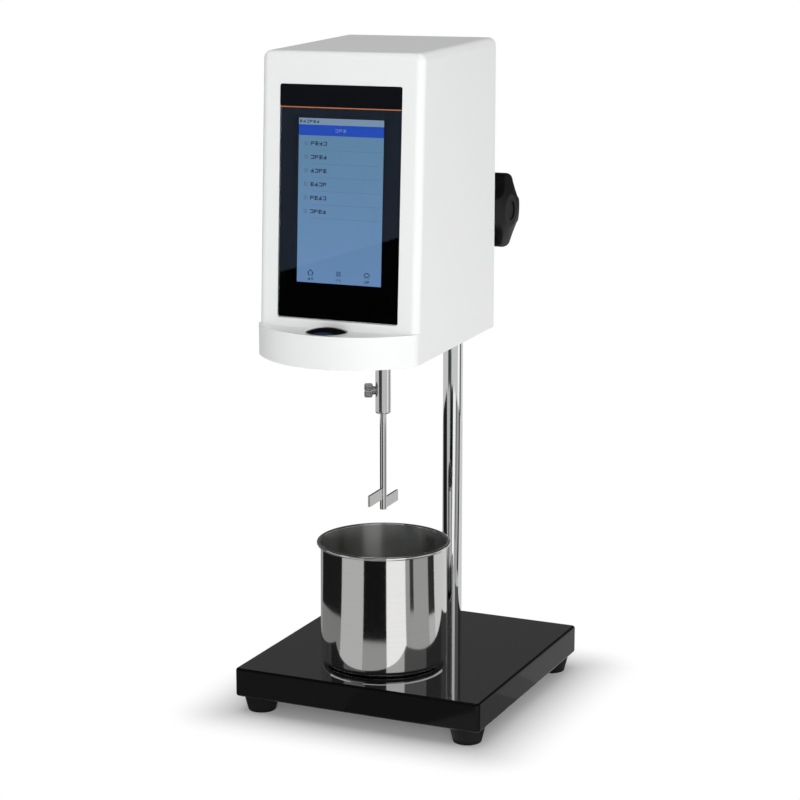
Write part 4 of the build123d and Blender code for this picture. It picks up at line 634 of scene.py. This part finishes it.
# Drive: a lacquered motor with a brass gear that turns a brass wheel on the spindle, and a slotted
# steel disc that a sensor reads.
cut_brass = grained("cut_brass", (0.62, 0.46, 0.2), 0.26, metallic=1.0, grain=500.0, tone=0.1,
                    spread=0.08, relief=0.04)
motor_lacquer = grained("motor_lacquer", (0.02, 0.02, 0.022), 0.4, grain=1000.0,
                        along=(1.0, 1.0, 4.0), tone=0.2, relief=0.15)
etched_steel = grained("etched_steel", (0.2, 0.2, 0.21), 0.4, metallic=1.0, grain=900.0, tone=0.15,
                       relief=0.03)
clothe(["spindle_gear", "motor_gear", "board_standoffs"], cut_brass)
clothe(["motor"], motor_lacquer)
clothe(["encoder_disc"], etched_steel)

# Collar and rotor: a turned stainless collar on the spindle's end grips the rod of a paddle
# rotor, whose two blades are cut from bright strip and welded to the rod.
collar_bright = grained("collar_bright", (0.74, 0.74, 0.745), 0.07, metallic=1.0, grain=700.0,
                        along=(0.05, 0.05, 2.0), tone=0.05, spread=0.03, relief=0.015)
blade_satin = grained("blade_satin", (0.66, 0.66, 0.64), 0.24, metallic=1.0, grain=500.0,
                      along=(1.0, 0.15, 4.0), tone=0.06, spread=0.06, relief=0.03)
surfaced("coupling_collar", "spindle", collar_bright)
surfaced("rotor_shaft", "spindle", collar_bright)
surfaced("paddle_blades", "spindle", blade_satin)

# Thumbscrew: turned stainless steel with a straight knurl rolled into its head, screwed into the
# collar's side against the rotor's rod.
screw_turn = math.radians(205.0)
screw_aim = Vector((math.cos(screw_turn), math.sin(screw_turn), 0.0))
spindle_low, spindle_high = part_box("spindle_shaft")
spindle_y = (spindle_low.y + spindle_high.y) / 2
thumb_low, thumb_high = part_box("thumbscrew")
thumb_place = Vector((0.0, spindle_y, (thumb_low.z + thumb_high.z) / 2))
screw_rotation = screw_aim.to_track_quat("Z", "Y").to_matrix().to_4x4()
screw_axes = Matrix.Translation(thumb_place) @ screw_rotation
stem_start = 0.00241
neck_start = 0.00551
grip_start = neck_start + 0.0019
grip_end = grip_start + 0.0058
grip_radius = 0.0048
grip_bevel = 0.0006
thumb_outline = [(0.0, stem_start), (0.002, stem_start), (0.002, neck_start), (0.0028, neck_start),
                 (0.003, neck_start + 0.0002), (0.003, grip_start - 0.0004), (0.0034, grip_start),
                 (grip_radius - grip_bevel, grip_start), (grip_radius, grip_start + grip_bevel),
                 (grip_radius, grip_end - grip_bevel), (grip_radius - grip_bevel, grip_end),
                 (0.0022, grip_end), (0.0018, grip_end - 0.0003), (0.0, grip_end - 0.0003)]
grip_steel = grained("grip_steel", (0.5, 0.5, 0.505), 0.2, metallic=1.0, grain=900.0, tone=0.1,
                     spread=0.06, relief=0.04)
grip_segments = 96
grip = turned("thumb_grip", thumb_outline, Vector((0, 0, 0)), grip_segments, grip_steel)
ridge_count = 40
ridge_size = 0.00046
ridge_sink = 0.00006


def knurl_tree(material):
    """Straight ridges set round a cylinder, from named sizes."""
    tree = bpy.data.node_groups.new("straight_knurl", "GeometryNodeTree")
    sizes = {}
    for label, kind in (("Ridges", "NodeSocketInt"), ("Radius", "NodeSocketFloat"),
                        ("Ridge Size", "NodeSocketFloat"), ("Length", "NodeSocketFloat"),
                        ("Start", "NodeSocketFloat")):
        sizes[label] = tree.interface.new_socket(label, in_out="INPUT", socket_type=kind).identifier
    tree.interface.new_socket("Geometry", in_out="OUTPUT", socket_type="NodeSocketGeometry")
    given = tree.nodes.new("NodeGroupInput")
    out = tree.nodes.new("NodeGroupOutput")
    circle = tree.nodes.new("GeometryNodeCurvePrimitiveCircle")
    points = tree.nodes.new("GeometryNodeCurveToPoints")
    points.mode = "EVALUATED"
    ridge = tree.nodes.new("GeometryNodeMeshCube")
    size = tree.nodes.new("ShaderNodeCombineXYZ")
    turn = tree.nodes.new("GeometryNodeTransform")
    turn.inputs["Rotation"].default_value = (0.0, 0.0, math.pi / 4)
    spread = tree.nodes.new("GeometryNodeInstanceOnPoints")
    aim = tree.nodes.new("FunctionNodeAlignRotationToVector")
    aim.axis = "X"
    where = tree.nodes.new("GeometryNodeInputPosition")
    lift = tree.nodes.new("GeometryNodeTransform")
    shift = tree.nodes.new("ShaderNodeCombineXYZ")
    real = tree.nodes.new("GeometryNodeRealizeInstances")
    paint = tree.nodes.new("GeometryNodeSetMaterial")
    paint.inputs["Material"].default_value = material
    link = tree.links.new
    link(given.outputs["Ridges"], circle.inputs["Resolution"])
    link(given.outputs["Radius"], circle.inputs["Radius"])
    link(circle.outputs["Curve"], points.inputs["Curve"])
    link(given.outputs["Ridge Size"], size.inputs["X"])
    link(given.outputs["Ridge Size"], size.inputs["Y"])
    link(given.outputs["Length"], size.inputs["Z"])
    link(size.outputs["Vector"], ridge.inputs["Size"])
    link(ridge.outputs["Mesh"], turn.inputs["Geometry"])
    link(points.outputs["Points"], spread.inputs["Points"])
    link(turn.outputs["Geometry"], spread.inputs["Instance"])
    link(where.outputs["Position"], aim.inputs["Vector"])
    link(aim.outputs["Rotation"], spread.inputs["Rotation"])
    link(given.outputs["Start"], shift.inputs["Z"])
    link(spread.outputs["Instances"], real.inputs["Geometry"])
    link(real.outputs["Geometry"], lift.inputs["Geometry"])
    link(shift.outputs["Vector"], lift.inputs["Translation"])
    link(lift.outputs["Geometry"], paint.inputs["Geometry"])
    link(paint.outputs["Geometry"], out.inputs["Geometry"])
    return tree, sizes


knurl, knurl_sizes = knurl_tree(grip_steel)
carrier = placed("knurl_carrier", bpy.data.meshes.new("knurl_carrier"))
modifier = carrier.modifiers.new("knurl", "NODES")
modifier.node_group = knurl
modifier[knurl_sizes["Ridges"]] = ridge_count
modifier[knurl_sizes["Radius"]] = grip_radius - ridge_sink
modifier[knurl_sizes["Ridge Size"]] = ridge_size
modifier[knurl_sizes["Length"]] = grip_end - grip_start - 2 * grip_bevel
modifier[knurl_sizes["Start"]] = (grip_start + grip_end) / 2
ridges = frozen(carrier)
carrier.modifiers.clear()
bpy.data.objects.remove(carrier)
grip.data.transform(screw_axes)
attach(grip, "thumbscrew")
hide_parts("thumbscrew")
ridges.transform(screw_axes)
knurl_piece = placed("thumb_knurl", ridges)
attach(knurl_piece, "thumbscrew")

# Electronics: a board of green laminate with its tracks under the mask, and a power module in a
# moulded black case.
board_green = grained("board_green", (0.02, 0.12, 0.05), 0.35, grain=420.0, tone=0.3, relief=0.08)
module_black = grained("module_black", (0.02, 0.02, 0.022), 0.5, grain=1200.0, tone=0.2,
                       relief=0.12)
clothe(["main_board"], board_green)
clothe(["power_module"], module_black)

# Studio: a pale floor that shows its real shadow near the base, darkened there by a painted shade,
# and fades into the white background. Then come cards that only polished surfaces and the glass
# see, soft lamps from the front, the side and above, and the camera.


def stage_mesh(name, points, faces, material):
    """A flat stage piece."""
    mesh = bpy.data.meshes.new(name)
    mesh.from_pydata(points, [], faces)
    mesh.materials.append(material)
    piece = placed(name, mesh)
    return piece


def seen_rays(tree):
    """One for camera, glossy and transmission rays, and nought for the others."""
    path = tree.nodes.new("ShaderNodeLightPath")
    first = tree.nodes.new("ShaderNodeMath")
    first.operation = "MAXIMUM"
    second = tree.nodes.new("ShaderNodeMath")
    second.operation = "MAXIMUM"
    tree.links.new(path.outputs["Is Camera Ray"], first.inputs[0])
    tree.links.new(path.outputs["Is Glossy Ray"], first.inputs[1])
    tree.links.new(first.outputs["Value"], second.inputs[0])
    tree.links.new(path.outputs["Is Transmission Ray"], second.inputs[1])
    return second.outputs["Value"]


white = (1.0, 1.0, 1.0)
ambient_light = 0.44
world = bpy.data.worlds.new("studio_world")
bpy.context.scene.world = world
world.use_nodes = True
sky = world.node_tree
ambient = sky.nodes["Background"]
ambient.inputs["Color"].default_value = (*white, 1)
ambient.inputs["Strength"].default_value = ambient_light
shown = sky.nodes.new("ShaderNodeBackground")
shown.inputs["Color"].default_value = (*white, 1)
shown.inputs["Strength"].default_value = 1.0
either = sky.nodes.new("ShaderNodeMixShader")
sky.links.new(seen_rays(sky), either.inputs["Fac"])
sky.links.new(ambient.outputs["Background"], either.inputs[1])
sky.links.new(shown.outputs["Background"], either.inputs[2])
sky.links.new(either.outputs["Shader"], sky.nodes["World Output"].inputs["Surface"])


def vector_step(operation, incoming, constant=None):
    """One vector operation of the floor's painted shade round the plate, on what comes in and a
    constant.
    """
    node = floor_tree.nodes.new("ShaderNodeVectorMath")
    node.operation = operation
    floor_tree.links.new(incoming, node.inputs[0])
    if constant is not None:
        node.inputs[1].default_value = constant
    return node.outputs["Value" if operation == "LENGTH" else "Vector"]


# Painted shade: within a few centimetres of the plate's outline, the floor shows only its lit
# surface and a faint glow. It therefore stays darker than the white beyond, on top of the real
# shadow.
painted_shade_start, painted_shade_end = -0.01, 0.052
floor_paint = bpy.data.materials.new("floor_paint")
floor_paint.use_nodes = True
floor_tree = floor_paint.node_tree
floor_shader = floor_tree.nodes["Principled BSDF"]
floor_shader.inputs["Base Color"].default_value = (0.82, 0.82, 0.82, 1)
floor_shader.inputs["Roughness"].default_value = 0.9
floor_shader.inputs["Specular IOR Level"].default_value = 0.0
floor_glow = floor_tree.nodes.new("ShaderNodeEmission")
floor_glow.inputs["Strength"].default_value = 0.04
floor_sum = floor_tree.nodes.new("ShaderNodeAddShader")
floor_white = floor_tree.nodes.new("ShaderNodeEmission")
floor_white.inputs["Strength"].default_value = 1.0
floor_mix = floor_tree.nodes.new("ShaderNodeMixShader")
floor_seen = floor_tree.nodes.new("ShaderNodeMixShader")
floor_place = floor_tree.nodes.new("ShaderNodeTexCoord")
plate_low, plate_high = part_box("base_plate")
centred = vector_step("SUBTRACT", floor_place.outputs["Object"], (plate_low + plate_high) / 2)
folded = vector_step("ABSOLUTE", centred)
beyond = vector_step("SUBTRACT", folded, (plate_high - plate_low) / 2)
outside = vector_step("MAXIMUM", beyond, (0.0, 0.0, 0.0))
flat = vector_step("MULTIPLY", outside, (1.0, 1.0, 0.0))
painted_shade_fade = floor_tree.nodes.new("ShaderNodeMapRange")
painted_shade_fade.interpolation_type = "SMOOTHSTEP"
painted_shade_fade.inputs["From Min"].default_value = painted_shade_start
painted_shade_fade.inputs["From Max"].default_value = painted_shade_end
link = floor_tree.links.new
link(vector_step("LENGTH", flat), painted_shade_fade.inputs["Value"])
link(floor_shader.outputs["BSDF"], floor_sum.inputs[0])
link(floor_glow.outputs["Emission"], floor_sum.inputs[1])
link(painted_shade_fade.outputs["Result"], floor_mix.inputs["Fac"])
link(floor_sum.outputs["Shader"], floor_mix.inputs[1])
link(floor_white.outputs["Emission"], floor_mix.inputs[2])
link(seen_rays(floor_tree), floor_seen.inputs["Fac"])
link(floor_shader.outputs["BSDF"], floor_seen.inputs[1])
link(floor_mix.outputs["Shader"], floor_seen.inputs[2])
link(floor_seen.outputs["Shader"], floor_tree.nodes["Material Output"].inputs["Surface"])
reach = 3.5
floor_corners = [(-reach, -reach, 0), (reach, -reach, 0), (reach, reach, 0), (-reach, reach, 0)]
stage_mesh("floor", floor_corners, [(0, 1, 2, 3)], floor_paint)

camera_place = Vector((0.6334, -1.4105, 0.5483))
camera_azimuth = math.radians(24.2)


def card_glow(name, colour, strength):
    """The even glow or darkness of a reflector card."""
    material = bpy.data.materials.new(name)
    material.use_nodes = True
    tree = material.node_tree
    tree.nodes.remove(tree.nodes["Principled BSDF"])
    glow = tree.nodes.new("ShaderNodeEmission")
    glow.inputs["Color"].default_value = (*colour, 1)
    glow.inputs["Strength"].default_value = strength
    tree.links.new(glow.outputs["Emission"], tree.nodes["Material Output"].inputs["Surface"])
    return material


def only_reflected(piece):
    """Keeps a card from the camera, from diffuse light and from shadows, not from reflections."""
    piece.visible_camera = False
    piece.visible_diffuse = False
    piece.visible_shadow = False
    piece.visible_volume_scatter = False


def round_place(turn, distance, height):
    """A place round the cup, by its turn in degrees from the camera's side and its distance."""
    angle = camera_azimuth + math.radians(turn)
    across, forward = distance * math.sin(angle), distance * math.cos(angle)
    return (cup_axis.x + across, cup_axis.y - forward, height)


def band_card(name, points, colour, strength):
    """A card in one band of faces, along two rows of points that take turns."""
    count = len(points) // 2 - 1
    faces = [(2 * s, 2 * s + 1, 2 * s + 3, 2 * s + 2) for s in range(count)]
    card = stage_mesh(name, points, faces, card_glow(name + "_glow", colour, strength))
    only_reflected(card)


def floor_card(name, start, end, near, far, strength):
    """A card lying on the floor, part of a ring round the cup."""
    steps = 10
    points = []
    for step in range(steps + 1):
        turn = start + (end - start) * step / steps
        points += [round_place(turn, near, card_lift), round_place(turn, far, card_lift)]
    band_card(name, points, white, strength)


card_lift = 0.003
ring_inner, ring_middle, ring_outer = 0.08, 0.95, 1.9
# near bands: start and end in degrees, strength, inner distance
floor_bands = [(-180, -140, 0.3, 0.08), (-140, -77, 0.012, 0.27), (-77, -34, 0.5, 0.08),
               (-34, 5, 0.008, 0.225), (5, 38, 0.98, 0.08), (38, 46, 0.35, 0.08),
               (46, 53, 0.04, 0.3), (53, 84, 0.36, 0.08), (84, 100, 0.03, 0.27),
               (100, 164, 0.66, 0.08), (164, 180, 0.3, 0.08)]
for index, (start, end, strength, inner) in enumerate(floor_bands):
    floor_card(f"near_card_{index}", start, end, inner, ring_middle, strength)
# inner bands: start and end in degrees, outer distance, strength
inner_bands = [(-140, -77, 0.27, 0.22), (-34, 5, 0.225, 0.33), (46, 53, 0.3, 0.36),
               (84, 100, 0.27, 0.5)]
for index, (start, end, outer, strength) in enumerate(inner_bands):
    floor_card(f"inner_card_{index}", start, end, ring_inner, outer, strength)
# far and upper bands: start and end in degrees, strength
far_bands = [(-180, -63, 0.6), (-63, -17, 0.05), (-17, 62, 0.62), (62, 88, 1.0), (88, 110, 0.12),
             (110, 180, 0.7)]
for index, (start, end, strength) in enumerate(far_bands):
    floor_card(f"far_card_{index}", start, end, ring_middle, ring_outer, strength)


def wall_card(name, start, end, distance, low, high, colour, strength):
    """An upright card, part of a ring round the cup. Its foot and head may slope."""
    steps = 8
    points = []
    for step in range(steps + 1):
        share = step / steps
        turn = start + (end - start) * share
        points += [round_place(turn, distance, low[0] + (low[1] - low[0]) * share),
                   round_place(turn, distance, high[0] + (high[1] - high[0]) * share)]
    band_card(name, points, colour, strength)


glass_distance, wall_distance = 2.0, 2.1
wall_foot, wall_head = 0.4, 1.3
pale_blue = (0.5, 0.66, 1.0)
wall_card("glass_card", -60, -36, glass_distance, (0.119, 0.4), (0.54, 0.54), pale_blue, 0.36)
wall_card("glass_card_low", -60, -36, glass_distance, (0.0, 0.0), (0.119, 0.4), white, 0.01)
wall_card("plate_card", 130, 250, wall_distance, (0.0, 0.0), (wall_head, wall_head), white, 0.09)
upper_bands = [(-130, -77, 0.03), (-77, -34, 0.25), (-34, 5, 0.03), (5, 38, 1.0), (38, 84, 0.18),
               (84, 130, 0.05)]
for index, (start, end, strength) in enumerate(upper_bands):
    wall_card(f"upper_card_{index}", start, end, wall_distance, (wall_foot, wall_foot),
              (wall_head, wall_head), white, strength)
ceiling_height = 1.35
ceiling_corners = [(-3, -3, ceiling_height), (3, -3, ceiling_height), (3, 3, ceiling_height),
                   (-3, 3, ceiling_height)]
ceiling = stage_mesh("ceiling_card", ceiling_corners, [(0, 1, 2, 3)],
                     card_glow("ceiling_card_glow", white, 0.05))
only_reflected(ceiling)


def soft_lamp(name, place, target, width, height, power):
    """A softbox that lights the object and isn't seen in its polished parts."""
    light = bpy.data.lights.new(name, "AREA")
    light.shape = "RECTANGLE"
    light.size = width
    light.size_y = height
    light.energy = power
    lamp = placed(name, light)
    lamp.location = place
    lamp.rotation_euler = (Vector(target) - Vector(place)).to_track_quat("-Z", "Y").to_euler()
    lamp.visible_camera = False
    lamp.visible_glossy = False


soft_lamp("front_softbox", (0.85, -1.9, 0.55), (0.0, 0.0, 0.3), 1.4, 1.2, 20.5)
soft_lamp("side_softbox", (2.0, 0.1, 0.5), (0.0, 0.0, 0.3), 1.2, 1.2, 9.5)
soft_lamp("top_softbox", (-0.2, -0.1, 2.2), (0.0, 0.0, 0.2), 1.6, 1.6, 10.5)

sensor_width = 36.0
focal_length = 98.99
camera_drop = 11.884
camera_turn = 24.218
camera_data = bpy.data.cameras.new("camera")
camera_data.sensor_width = sensor_width
camera_data.lens = focal_length
camera = placed("camera", camera_data)
camera.location = camera_place
camera.rotation_euler = (math.radians(90 - camera_drop), 0.0, math.radians(camera_turn))
bpy.context.scene.camera = camera
bpy.context.scene.view_settings.view_transform = "Standard"
